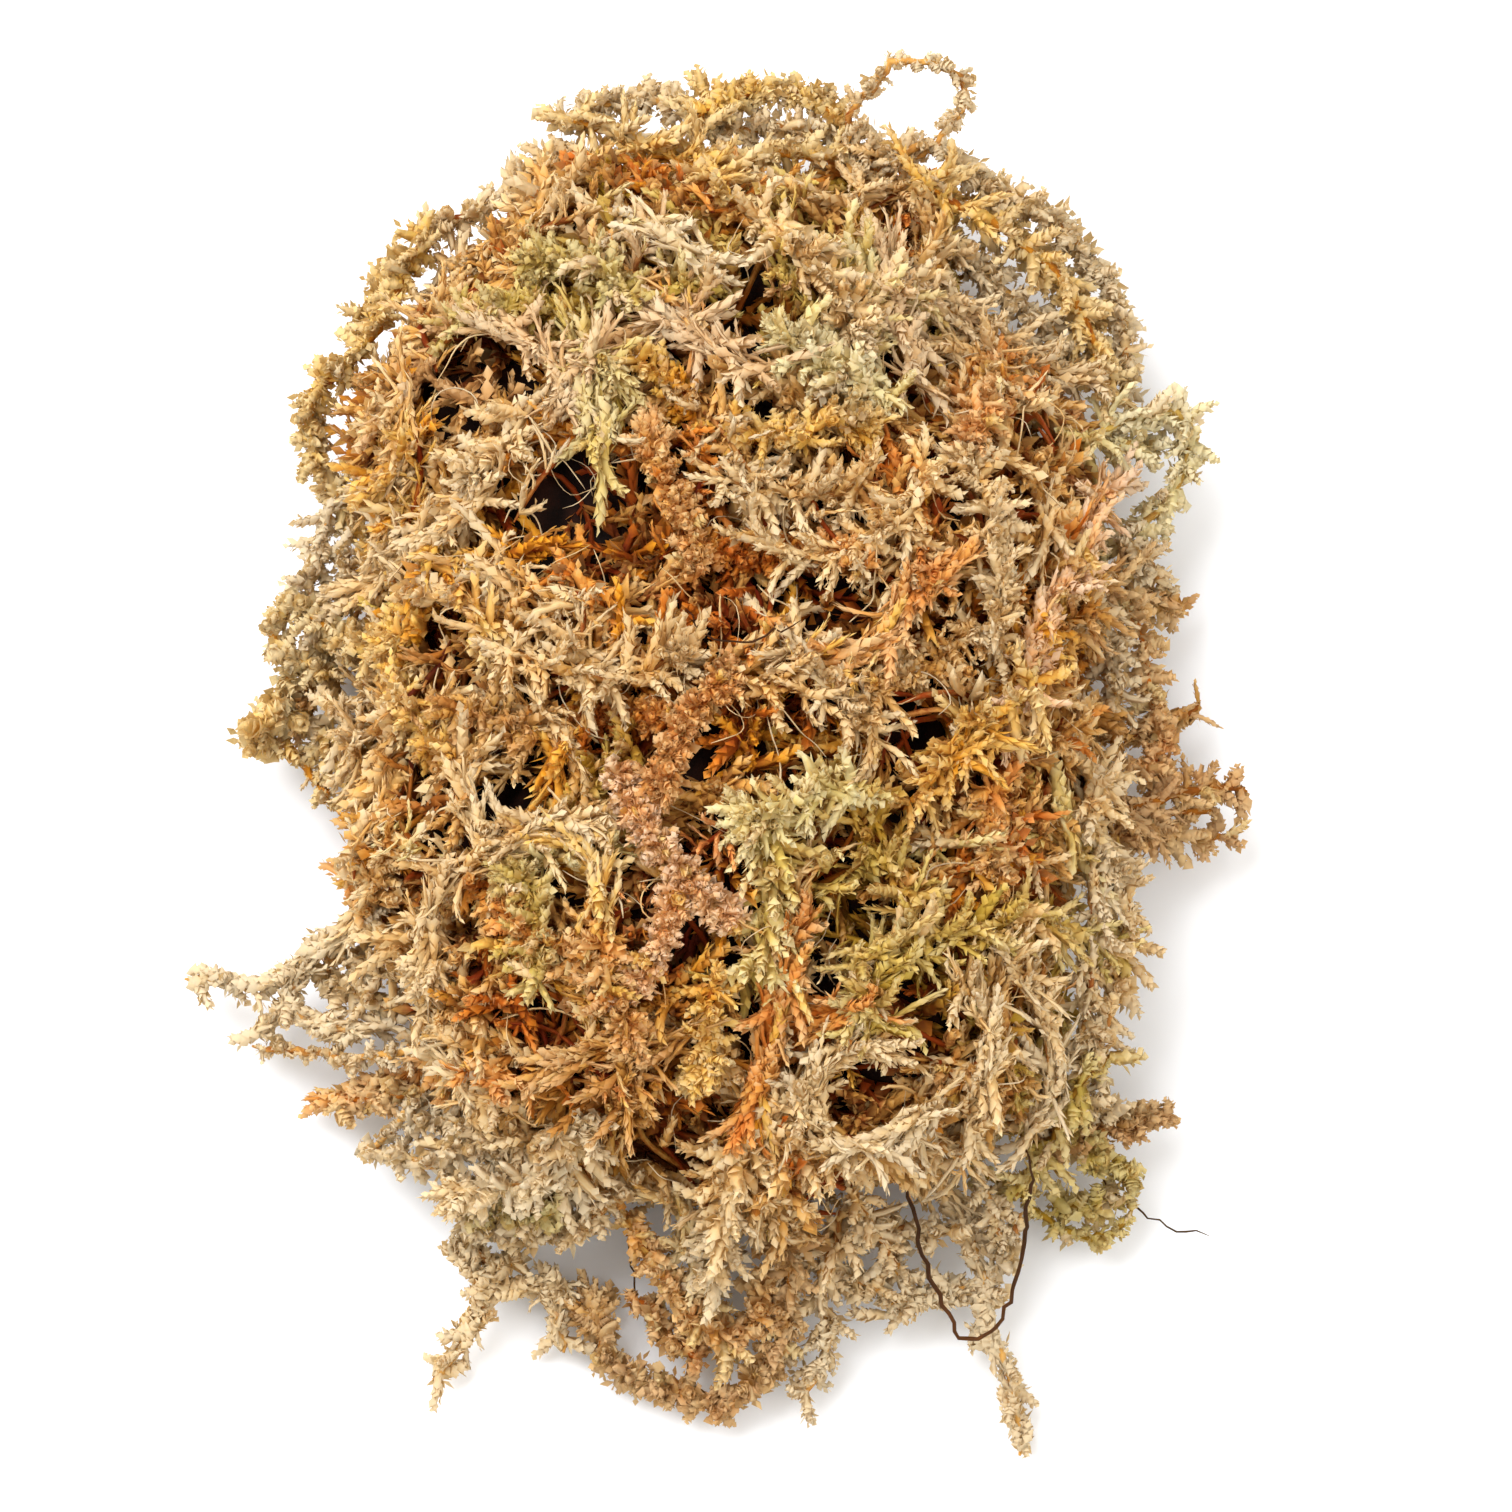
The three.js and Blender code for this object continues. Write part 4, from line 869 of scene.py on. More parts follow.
# Each strand by name, with its tint, its habit and the frame's own route: a point [x, y] lies on
# the top of the heart and a point [x, y, z] is free. Forks and a head follow where it has them.
STRANDS = [
    ("north_east_loop", "straw", "wisp",
     [[20, 72], [18, 81, 24], [19, 87, 27], [22, 90, 30], [26, 93, 33], [31, 92, 35],
      [35, 91, 34], [36, 87, 32], [32, 82, 28], [26, 78, 25]], [], None),
    ("north_rim", "gold", "feather",
     [[-27, 88, 20], [-19, 86, 21], [-12, 81, 24], [-6, 77, 24], [0, 70]],
     [[[-6, 77, 24], [-4, 86, 24], [-4, 95, 20]]], None),
    ("west_gold_rim", "gold", "tuft",
     [[-46, 71, 20], [-51, 60, 20], [-57, 50, 19], [-63, 46, 17], [-64, 39, 15], [-61, 32, 13],
      [-56, 25, 12], [-50, 20, 13]], [], None),
    ("olive_rosette", "olive", "tuft", [[-27, 60], [-19, 59], [-14, 53]], [], "start"),
    ("olive_wave", "olive", "rope", [[-23, 50], [-21, 43], [-20, 36], [-18, 27]], [], None),
    ("lilac_wedge", "mauve", "rope", [[-36, 51], [-31, 48], [-24, 40], [-27, 33]], [], None),
    ("cream_north", "cream", "fingers", [[5, 67], [10, 60], [16, 54], [18, 48]], [], "end"),
    ("cream_mid", "pale_green", "fingers", [[9, 46], [16, 41], [25, 38]], [], "start"),
    ("gold_rosette", "gold", "tuft", [[10, 31], [14, 34], [19, 33]], [], "end"),
    ("stem_fall", "mauve", "rope", [[23, 63], [25, 56], [26, 46], [29, 40]], [], None),
    ("east_straw", "straw", "feather",
     [[30, 57], [36, 53], [42, 50], [50, 47, 22], [57, 46, 20]], [], None),
    ("orange_east", "rust", "tuft", [[43, 42, 30], [39, 38], [36, 32]], [], "end"),
    ("tan_patch", "straw", "tuft", [[36, 27], [39, 18], [40, 8], [39, -1]], [], "start"),
    ("east_arc", "pink", "rope", [[58, 30, 20], [53, 24, 26], [50, 17, 28], [47, 8], [42, -8]], [], None),
    ("east_fan", "pale_green", "feather",
     [[50, 34, 22], [56, 38, 21], [63, 41, 20], [70, 41, 18], [69, 33, 15], [64, 26, 14],
      [54, 20, 14]], [], None),
    ("east_point", "brown", "feather", [[50, 14, 18], [57, 17, 15], [63, 16, 12], [69, 13, 8]], [], None),
    ("east_flag", "brown", "rope", [[48, -3, 18], [57, -7, 16], [65, -6, 12], [72, -1, 10]], [], None),
    ("east_cream", "cream", "fingers", [[52, -14, 24], [53, -21, 24], [56, -28, 20]], [], "end"),
    ("east_spray", "brown", "feather",
     [[50, -20, 16], [59, -19, 15], [67, -17, 14], [74, -15, 12], [79, -15, 10]],
     [[[59, -19, 15], [66, -22, 12], [76, -22, 8]]], None),
    ("east_leafy", "olive", "feather",
     [[58, -57, 18], [52, -62, 20], [49, -70, 17], [43, -78, 14]], [], None),
    ("rust_column", "rust", "column", [[-11, 30], [-9, 23], [-6, 17], [-5, 9]], [], "start"),
    ("tan_rope", "straw", "rope", [[-59, 12, 18], [-50, 16, 25], [-42, 20], [-34, 24]], [], None),
    ("cream_twig", "cream", "feather", [[29, 28], [28, 21], [21, 15], [9, 13], [3, 17]], [], None),
    ("rust_bow", "rust", "rope", [[33, 11], [27, 7], [23, 0], [14, -4]], [], None),
    ("straw_sweep", "straw", "feather", [[-35, 0], [-26, -3], [-16, -6], [-8, -3]], [], "end"),
    ("rust_tuft", "rust", "column", [[2, -5], [-5, -12], [-9, -21]], [], "end"),
    ("pink_column", "pink", "column", [[-16, -19], [-13, -27], [-7, -34], [1, -42]], [], None),
    ("gold_diagonal", "gold", "feather", [[45, -4], [39, -10], [32, -17], [26, -25]], [], None),
    ("star_green", "pale_green", "fingers", [[4, -27], [11, -24], [19, -22]], [], "start"),
    ("straw_river", "straw", "rope",
     [[-20, -28], [-28, -28], [-36, -32], [-43, -38], [-43, -46]], [], "end"),
    ("olive_tuft", "olive", "tuft", [[-30, -36], [-28, -43], [-28, -51]], [], "start"),
    ("rust_knot", "rust", "tuft", [[-19, -43], [-18, -50], [-15, -56]], [], "end"),
    ("twisted_rope", "brown", "rope", [[-27, -62], [-20, -60], [-12, -60], [-5, -57]], [], None),
    ("olive_river", "olive", "feather",
     [[20, -46], [29, -44], [37, -42], [45, -39], [53, -40, 22], [60, -42, 18]],
     [[[22, -46], [19, -51], [22, -55]]], None),
    ("east_strand_low", "cream", "rope",
     [[41, -45], [46, -52, 28], [48, -62, 24], [44, -71, 20]], [], None),
    ("big_curl", "cream", "rope",
     [[23, -59], [16, -60], [12, -66], [16, -72], [25, -71], [31, -65]], [], None),
    ("rust_seam", "rust", "rope", [[10, -42], [8, -51], [6, -60], [3, -69]], [], None),
    ("west_loop", "gold", "tuft",
     [[-60, 2, 14], [-70, 8, 14], [-66, 12, 17], [-57, 6, 20], [-48, 4]], [], None),
    ("west_straw", "straw", "feather",
     [[-61, -2, 15], [-56, -9, 20], [-52, -17, 24], [-50, -25, 24]], [], None),
    ("west_gold_tuft", "gold", "fingers",
     [[-72, -9, 10], [-70, -4, 14], [-64, -5, 10], [-57, -10, 11], [-48, -14, 11]], [], None),
    ("south_west_reach", "cream", "rope",
     [[-82, -43, 6], [-77, -44, 8], [-73, -45, 9], [-65, -43, 12], [-57, -38, 16], [-49, -37, 22]],
     [[[-66, -43, 12], [-67, -49, 9], [-73, -52, 6]],
      [[-67, -49, 9], [-60, -52, 12], [-50, -52, 14]]], None),
    ("brown_point", "rust", "rope",
     [[-61, -62, 6], [-54, -61, 9], [-46, -58, 12], [-40, -52, 16]], [], None),
    ("pale_hook", "cream", "wisp",
     [[-55, -70, 8], [-51, -68, 11], [-47, -63, 14], [-42, -58, 18]], [], None),
    ("cream_fingers", "cream", "fingers",
     [[-43, -71, 15], [-36, -70, 20], [-29, -70, 24], [-21, -70]],
     [[[-29, -70, 24], [-34, -76, 18], [-39, -80, 13]],
      [[-21, -70], [-25, -77, 20], [-31, -83, 14]]], None),
    ("south_west_leg", "straw", "rope",
     [[-29, -58, 18], [-33, -71, 12], [-38, -80, 9], [-40, -87, 8], [-35, -91, 7], [-28, -90, 7],
      [-22, -93, 6]],
     [[[-35, -91, 7], [-39, -97, 5], [-44, -104, 4]],
      [[-28, -90, 7], [-26, -95, 5], [-25, -100, 4]]], None),
    ("south_stray", "brown", "tuft",
     [[-20, -95, 5], [-18, -101, 5], [-13, -105, 5], [-7, -106, 5], [-2, -109, 5], [3, -105, 6],
      [8, -99, 9], [9, -90, 13], [8, -80, 15], [8, -70, 12]], [], "start"),
    ("cream_fall", "cream", "fingers", [[2, -72], [0, -80, 25], [-1, -87, 20], [-3, -93, 15]], [], None),
    ("south_tassel", "straw", "feather",
     [[17, -67, 18], [16, -84, 13], [14, -92, 10], [15, -100, 7], [11, -107, 5]], [], None),
    ("south_tip", "straw", "rope",
     [[28, -61, 14], [31, -72, 11], [35, -82, 9], [39, -90, 8], [38, -97, 6], [42, -102, 5],
      [43, -108, 4], [44, -115, 3]],
     [[[39, -90, 8], [31, -92, 7], [23, -95, 6]]], None),
    ("dark_loop", "root", "root",
     [[24, -72, 24], [27, -79, 20], [29, -87, 16], [32, -94, 14], [37, -100, 12], [41, -96, 13],
      [44, -87, 15], [44, -79, 18], [42, -70, 20]], [], None),
    ("south_east_brown", "brown", "tuft",
     [[36, -57, 15], [44, -67, 14], [50, -70, 13], [57, -67, 11], [67, -65, 9]], [], None),
    ("south_east_curl", "olive", "wisp",
     [[27, -62, 10], [36, -71, 8], [44, -77, 8], [51, -82, 6], [57, -83, 6], [61, -78, 7]], [], None),
]

# Strands that the frame leaves out, on the same terms: name, tint, habit, route and head.
EXTRAS = [
    ("north_east_rim", "straw", "tuft",
     [[33, 82, 24], [37, 78, 23], [43, 75, 22], [50, 72, 20], [55, 66, 18], [59, 60, 17], [60, 54, 16],
      [61, 46, 15]], None),
    ("north_east_inner_rim", "gold", "feather",
     [[27, 77, 30], [33, 73, 28], [41, 69, 26], [48, 64, 24], [53, 58, 22], [56, 51, 20],
      [58, 43, 20]], None),
    ("north_east_slope", "straw", "tuft",
     [[26, 72, 24], [33, 66, 24], [40, 62, 22], [47, 56, 20], [54, 49, 18]], None),
    ("north_east_ledge", "gold", "feather",
     [[34, 76, 18], [41, 73, 17], [48, 67, 16], [54, 59, 15], [58, 50, 14]], None),
    ("north_bow", "gold", "tuft",
     [[-4, 88, 24], [1, 90, 23], [7, 92, 22], [13, 91, 22], [18, 87, 22]], None),
    ("white_fork", "cream", "fingers", [[-30, 36], [-32, 32], [-37, 28]], "end"),
    ("cream_post", "cream", "rope", [[-39, -22], [-36, -28], [-33, -34]], None),
    ("orange_middle", "rust", "tuft", [[39, -20], [38, -27], [39, -34]], None),
    ("straw_fall", "cream", "rope", [[34, -49], [38, -57], [36, -67], [35, -75]], None),
    ("spiky_tan", "straw", "feather", [[9, 0], [17, -10], [23, -16]], None),
    ("yellow_tuft", "gold", "tuft", [[-2, -49], [-3, -55], [-4, -61]], "end"),
    ("olive_low", "olive", "tuft", [[-37, -81, 14], [-31, -81, 16], [-25, -81, 20]], None),
    ("olive_curl", "olive", "rope", [[24, -48], [20, -52], [21, -56], [25, -55]], None),
    ("low_fingers", "cream", "fingers", [[-39, -78, 20], [-32, -78, 24], [-25, -77, 26]], "start"),
    ("south_fill", "straw", "tuft", [[18, -76, 18], [22, -83, 14], [26, -90, 9]], None),
    ("south_west_fill", "straw", "tuft", [[-39, -82, 12], [-31, -83, 13], [-22, -83, 16], [-16, -78, 18]],
     None),
    ("south_bundle", "gold", "feather", [[-8, -78, 18], [-5, -88, 13], [-3, -95, 9], [1, -102, 7]], None),
    ("south_east_leaves", "olive", "tuft", [[50, -66, 14], [56, -72, 11], [61, -75, 9]], None),
    ("south_bow", "straw", "wisp", [[9, -87, 13], [9, -99, 8], [6, -105, 6]], None),
    ("south_middle", "rust", "tuft",
     [[-16, -80, 16], [-9, -90, 12], [-4, -96, 10], [3, -98, 9], [6, -90, 13]], None),
    ("south_spray", "cream", "wisp", [[23, -93, 8], [30, -92, 7], [39, -90, 8], [44, -80, 12]], None),
    ("west_dangle", "gold", "wisp", [[-63, 44, 14], [-62, 37, 12], [-61, 29, 12]], None),
    ("west_rim", "cream", "feather", [[-60, 28, 14], [-63, 19, 14], [-62, 10, 15], [-56, 5, 16]], None),
    ("west_tuft", "gold", "tuft", [[-58, 8, 12], [-65, 4, 12], [-69, -2, 12], [-70, -8, 10]], None),
    ("south_west_low", "straw", "wisp",
     [[-72, -54, 6], [-64, -55, 9], [-54, -57, 14], [-46, -56, 20]], None),
    ("south_west_rust", "rust", "feather", [[-60, -63, 7], [-53, -62, 10], [-45, -62, 14]], None),
    ("south_west_pale", "cream", "feather", [[-55, -70, 8], [-48, -72, 12], [-40, -74, 14]], None),
    ("east_rim", "rust", "tuft",
     [[56, 16, 20], [61, 11, 18], [63, 5, 16], [64, -2, 15], [66, -9, 14], [62, -14, 15]], None),
    ("east_low_rim", "straw", "feather",
     [[56, -26, 18], [59, -30, 18], [60, -38, 17], [58, -46, 18], [56, -55, 18], [51, -62, 18]], None),
    ("south_tassel_fill", "straw", "tuft", [[14, -88, 10], [19, -90, 9], [24, -91, 8]], None),
    ("south_east_gap", "cream", "tuft", [[24, -82, 12], [29, -83, 11], [34, -83, 11]], None),
    ("south_west_bank", "cream", "tuft", [[-48, -66, 12], [-43, -67, 15], [-39, -67, 18]], None),
    ("west_bank", "straw", "tuft", [[-61, 22, 14], [-58, 19, 15], [-57, 15, 16]], None),
    ("east_bank", "brown", "tuft", [[57, -22, 16], [61, -24, 15], [64, -23, 13]], None),
    ("east_spray_fill", "brown", "wisp", [[62, -19, 13], [68, -19, 12], [74, -18, 11]], None),
    ("north_loop_side", "straw", "wisp", [[24, 79, 27], [28, 81, 28], [32, 82, 28]], None),
    ("cream_cross", "cream", "feather", [[-2, 25], [6, 24], [14, 22], [21, 25]], None),
    ("north_notch", "straw", "tuft", [[-30, 84, 16], [-26, 80, 18], [-22, 78, 20]], None),
    ("north_west_gap", "straw", "tuft", [[-44, 66, 18], [-40, 64, 20], [-36, 62, 22]], None),
    ("north_loop_root", "straw", "tuft", [[17, 84, 23], [21, 81, 24], [25, 80, 24]], None),
    ("south_west_inner", "straw", "tuft", [[-58, -40, 12], [-54, -43, 14], [-50, -45, 16]], None),
    ("south_west_knee", "straw", "tuft", [[-39, -84, 9], [-35, -87, 8], [-31, -87, 8]], None),
    ("west_tuft_tips", "gold", "wisp", [[-66, -9, 9], [-63, -13, 9], [-61, -17, 10]], None),
    ("south_east_notch", "straw", "tuft", [[50, -62, 17], [54, -64, 16], [58, -65, 14]], None),
    ("north_rim_fill", "straw", "tuft", [[-26, 88, 18], [-18, 91, 18], [-10, 91, 19], [-3, 88, 20]], None),
    ("north_west_rim", "straw", "tuft", [[-47, 70, 17], [-42, 72, 18], [-36, 75, 18], [-31, 79, 18]], None),
    ("north_west_fill", "gold", "tuft", [[-57, 55, 15], [-54, 61, 16], [-49, 67, 17]], None),
    ("north_bow_fill", "gold", "tuft", [[2, 80, 24], [9, 81, 24], [17, 80, 24]], None),
    ("north_bow_inner", "straw", "tuft", [[-3, 85, 22], [4, 86, 21], [11, 86, 21], [18, 84, 22]], None),
    ("south_west_core", "cream", "tuft", [[-62, -44, 10], [-56, -47, 12], [-51, -49, 15]], None),
    ("south_low_fill", "rust", "tuft", [[-14, -92, 8], [-9, -98, 6], [-4, -102, 6]], None),
    ("south_east_knot", "olive", "tuft", [[49, -77, 7], [54, -79, 7], [58, -77, 7]], None),
    ("south_east_fill", "cream", "tuft", [[38, -76, 14], [41, -82, 11], [41, -88, 9]], None),
    ("east_low_inner", "cream", "feather",
     [[54, -30, 22], [55, -40, 21], [54, -50, 20], [52, -58, 20]], None),
    ("east_fan_fill", "pale_green", "tuft", [[57, 36, 19], [62, 37, 18], [66, 36, 16]], None),
    ("east_point_fill", "straw", "tuft", [[60, 22, 16], [64, 20, 14], [66, 16, 12]], None),
    ("east_waist", "straw", "tuft", [[54, 8, 20], [58, 3, 18], [58, -4, 18]], None),
    ("north_cross", "mauve", "rope", [[-11, 51], [-5, 48], [1, 43], [7, 42]], None),
    ("west_brown_tuft", "brown", "tuft", [[-40, -9], [-34, -11], [-28, -13]], None),
    ("gold_hook", "gold", "rope", [[-29, -30], [-23, -30], [-19, -35], [-18, -42]], None),
    ("west_orange", "rust", "tuft", [[-57, -30, 18], [-53, -33, 20], [-49, -36, 22]], None),
    ("west_rust_twig", "rust", "wisp", [[-61, -43, 10], [-58, -38, 13], [-55, -36, 16]], None),
    ("east_hair", "root", "hair", [[54, -73, 9], [62, -79, 5], [67, -81, 3], [72, -82, 2]], None),
    ("south_hair", "root", "hair", [[-15, -82, 12], [-14, -91, 8], [-11, -96, 6], [-6, -100, 5]], None),
    ("west_hair", "root", "hair", [[-63, 48, 14], [-64, 41, 12], [-62, 35, 10]], None),
    ("middle_hair", "root", "hair", [[-6, 4, 50], [-2, -1, 51], [6, 0, 51], [11, 2, 50]], None),
]

# Strands round the lower sides: how many, how far round each runs, its points and its reach.
SKIRT_STRANDS = 7
SKIRT_SPAN = 0.62
SKIRT_POINTS = 5
SKIRT_REACH = 0.93
SKIRT_TINTS = ("straw", "rust", "olive", "brown")


def skirt_strand(i):
    """A strand round the lower sides, as the frame's own source lays it."""
    start = 2 * math.pi * (i + 0.3) / SKIRT_STRANDS
    route = []
    for k in range(SKIRT_POINTS):
        turn = start + SKIRT_SPAN * k / (SKIRT_POINTS - 1)
        x = SKIRT_REACH * HALF_WIDTH * math.cos(turn)
        y = SKIRT_REACH * HALF_LENGTH * math.sin(turn)
        height = 5 + 7 * k / (SKIRT_POINTS - 1) + 1.5 * math.sin(2.1 * k + i)
        route.append([x, y, height])
    tint = SKIRT_TINTS[i % len(SKIRT_TINTS)]
    return f"skirt_strand_{i + 1}", tint, "feather", route, [], None


HOLLOWS = 2.6


def relief(p):
    """How far the mat sinks below its usual height, in broad hollows."""
    x, y = p[:, 0], p[:, 1]
    hollows = np.sin(0.2 * x + 1.3 * np.sin(0.11 * y)) * np.cos(0.18 * y + 1.2 * np.sin(0.13 * x))
    return HOLLOWS * (hollows - 1)


# The points of a strand's stem lie this far apart.
STRAND_STEP = 1.5
# How far the mat sinks under a strand that lies over it, and how far to the sides that is felt.
SINK = 3.0
SINK_REACH = 4.5
# A branch of the mat that comes this close to a strand may lie over it by no more than this.
BARE_REACH = 2.2
MOST_OVER = 0.2


class Overlying:
    """The strands that lie over the mat, which it keeps clear of."""

    def __init__(self, paths):
        self.points = np.vstack([evenly(path, STRAND_STEP) for path in paths]).astype(np.float32)
        self.heights = skin_distance(self.points)

    def nearest(self, p):
        """For each point, the nearest point of a strand, by number, and how far off it is."""
        gaps = np.linalg.norm(p[:, None].astype(np.float32) - self.points[None], axis=2)
        return gaps.argmin(1), gaps.min(1)

    def sunk(self, p):
        """How far the mat sinks at some points to make room for the strands."""
        return SINK * np.exp(-(self.nearest(p)[1] / SINK_REACH) ** 2)

    def covered_by(self, points):
        """Whether a branch's outer points lie over a strand."""
        flat = points[:, 2:].reshape(-1, 3)
        number, gap = self.nearest(flat)
        over = (gap < BARE_REACH) & (skin_distance(flat) > self.heights[number] + MOST_OVER)
        return over.reshape(-1, 2).any(1)


# How far a wandering stem turns at each step, how far it rises and sinks, and how often.
SWAY = 0.45
RISE_AND_FALL = 1.3
WAVE_STEP = 1.1


def wander(start, heading, height, steps, stride, bend, rng, overlying=None):
    """Stems that wander over the heart, all at once: a path for each, at its own height, which
    rises and sinks as it goes. It keeps above the surface."""
    lowest = 2.0
    point = start
    paths = [off_skin(point, height + relief(point))]
    phase = rng.uniform(0, 6, len(start))
    for k in range(steps):
        out = outward(point)
        noise = rng.uniform(-SWAY, SWAY, len(start)) + bend
        turned = heading * np.cos(noise)[:, None] + np.cross(out, heading) * np.sin(noise)[:, None]
        low = point[:, 2] < lowest + 1
        turned[:, 2] = np.where(low, np.abs(turned[:, 2]), turned[:, 2])
        heading = unit(turned - dots(turned, out) * out)
        point = off_skin(point + heading * stride, 0)
        wave = RISE_AND_FALL * np.sin(WAVE_STEP * k + phase)
        sunk = overlying.sunk(point) if overlying else 0
        at = off_skin(point, height + wave + relief(point) - sunk)
        at[:, 2] = np.maximum(at[:, 2], lowest)
        paths.append(at)
    return np.stack(paths, 1)


# How thick the stems are, and how much darker or paler than their branches.
MAIN_STEM = 0.6
MAIN_STEM_PALER = 0.1
SIDE_STEM = 0.42
SIDE_STEM_DARKER = 0.15
ROOT_STEM = 0.34
ROOT_SHADE = 0.12
ROOT_TURN = 0.05
# How far chance moves each point of a strand's stem.
CROOKED = 0.25
# A wandering stem goes on by this much at each step.
STRIDE = 5.5
SIDE_STEM_STEPS = 5
SIDE_STEM_STEP = 1.6
# A side stem leaves its strand only where that lies this near to the heart's skin.
SIDE_STEM_REACH = 5


def add_side_stem(tangle, branches, main, habit, shade, turn, rng):
    """A side stem that leaves a strand where it lies on the heart, and wanders over it."""
    near = np.flatnonzero(skin_distance(main) < SIDE_STEM_REACH)
    if not len(near):
        return
    foot = main[rng.choice(near, 1)]
    heading = square_to(outward(foot), rng)
    height = rng.uniform(0.5, 2.0, 1)
    bend = rng.uniform(-0.3, 0.3, 1)
    path = wander(foot, heading, height, SIDE_STEM_STEPS, STRIDE, bend, rng)[0]
    path = evenly(curve_through(np.vstack([foot[0], path[1:]])), SIDE_STEM_STEP)
    add_stem(tangle, path, SIDE_STEM, shade - SIDE_STEM_DARKER, turn, rng, sides=4)
    add_branches(branches, path, habit, shade, turn, rng)


def nearest_on(stems, p):
    """The point of some stems that is nearest to p."""
    every = np.vstack(stems)
    return every[np.linalg.norm(every - p, axis=1).argmin()]


def make_strands(finishes):
    """Every strand of the frame, each as one piece that stands for its node, and the extra ones.
    Gives the stems of the named strands, which the mat keeps clear of."""
    laid = Laid()
    plans = STRANDS + [skirt_strand(i) for i in range(SKIRT_STRANDS)]
    mains = []
    for _, _, habit, route, _, head in plans:
        radius = ROOT_RADIUS if habit == "root" else STEM_RADIUS
        path = laid_along(route[::-1] if head == "start" else route, radius)
        path = laid.lifted_over(path, radius)
        laid.lay(path, radius)
        mains.append([path])
    for (_, _, _, _, forks, _), stems in zip(plans, mains):
        for route in forks:
            path = laid_along(route, STEM_RADIUS)
            path[0] = nearest_on(stems, path[0])
            path = laid.lifted_over(path, STEM_RADIUS, rooted=True)
            laid.lay(path, STEM_RADIUS)
            stems.append(path)
    for number, (plan, stems) in enumerate(zip(plans, mains)):
        make_strand(plan, stems, finishes, np.random.default_rng([SEED, number]), plan[0])
    for number, (name, tint, habit, route, head) in enumerate(EXTRAS):
        radius = HAIR_RADIUS if habit == "hair" else ROOT_RADIUS
        path = laid_along(route[::-1] if head == "start" else route, radius)
        plan = (name, tint, habit, route, [], head)
        make_strand(plan, [path], finishes, np.random.default_rng([SEED, EXTRAS_SEED + number]))
    return [path for stems in mains[:len(STRANDS)] for path in stems]


def make_strand(plan, stems, finishes, rng, *nodes):
    """One strand with its forks, its branches and its head. A root or a hair is bare."""
    name, tint, habit, _, _, head = plan
    bare = habit in ("root", "hair")
    tangle = Tangle()
    branches = Branches(rng)
    shade = rng.uniform(0.04, 0.2)
    turn = rng.uniform(0.05, 0.3)
    for path in stems:
        path = evenly(curve_through(path), STRAND_STEP)
        path += CROOKED * rng.normal(size=path.shape)
        if bare:
            radius = HAIR_RADIUS if habit == "hair" else ROOT_STEM
            add_stem(tangle, path, radius, ROOT_SHADE, ROOT_TURN, rng)
        else:
            add_stem(tangle, path, MAIN_STEM, shade + MAIN_STEM_PALER, turn, rng)
            add_branches(branches, path, habit, shade, turn, rng)
    if nodes and not bare:
        add_side_stem(tangle, branches, stems[0], habit, shade - 0.05, turn, rng)
    if head:
        add_head(branches, stems[0], shade, turn, rng)
    branches.grow(tangle)
    tangle.made(f"{name}_leafy", finishes[tint], tint, *nodes)


FIBRES = 230
FIBRE_STEPS = 5
FIBRE_STRIDE = 2.6
FIBRE_STEP = 1.2


def make_fibres(finish):
    """Thin, pale, curly fibres that lie loose over the top."""
    rng = np.random.default_rng([SEED, FIBRES_SEED])
    start = skin_along(unit(rng.normal(size=(FIBRES, 3)) * (1, 1, 0.8) + 0.9 * UP))
    heading = square_to(outward(start), rng)
    bend = rng.uniform(-0.9, 0.9, FIBRES)
    height = rng.uniform(1.5, 3.5, FIBRES)
    paths = wander(start, heading, height, FIBRE_STEPS, FIBRE_STRIDE, bend, rng)
    tangle = Tangle()
    for path in paths:
        path = evenly(curve_through(path), FIBRE_STEP)
        radius = rng.uniform(0.08, 0.18)
        add_stem(tangle, path, radius, rng.uniform(0.55, 0.95), rng.uniform(0, 0.5), rng, sides=3)
    tangle.made("loose_fibres", finish, "cream")


# ------------------------------------------------------------------ the heart

# Where the mat takes on a tint of its own: x, y, reach and tint, in the order of a walk over it.
PATCHES = [
    (-51, 59, 12, "gold"), (-35, 66, 13, "straw"), (-19, 60, 8, "olive"), (-7, 81, 9, "rust"),
    (9, 86, 10, "gold"), (9, 58, 11, "pale_green"), (24, 62, 7, "mauve"), (33, 58, 9, "olive"),
    (50, 56, 14, "straw"), (17, 41, 11, "cream"), (15, 35, 5, "gold"), (-28, 43, 11, "mauve"),
    (-8, 23, 8, "rust"), (-31, 20, 12, "straw"), (-50, 15, 12, "gold"), (18, 22, 13, "cream"),
    (42, 12, 9, "straw"), (54, 18, 9, "cream"), (44, 1, 7, "rust"), (-66, -5, 10, "gold"),
    (-48, -10, 12, "straw"), (-43, -18, 9, "brown"), (-19, -2, 9, "cream"), (-4, -15, 9, "rust"),
    (-5, -32, 5, "pink"), (15, -9, 10, "gold"), (9, -27, 9, "pale_green"), (47, -17, 11, "cream"),
    (38, -26, 7, "rust"), (56, -24, 6, "pale_green"), (64, -9, 9, "rust"), (-31, -29, 8, "pale_green"),
    (-21, -39, 8, "gold"), (-48, -38, 12, "cream"), (-16, -56, 11, "rust"), (-1, -54, 6, "gold"),
    (10, -63, 6, "rust"), (24, -67, 12, "cream"), (37, -46, 10, "olive"), (42, -61, 11, "cream"),
    (-34, -73, 11, "cream"), (-31, -81, 8, "olive"), (-10, -72, 13, "brown"), (11, -82, 12, "straw"),
    (33, -78, 12, "straw"),
]
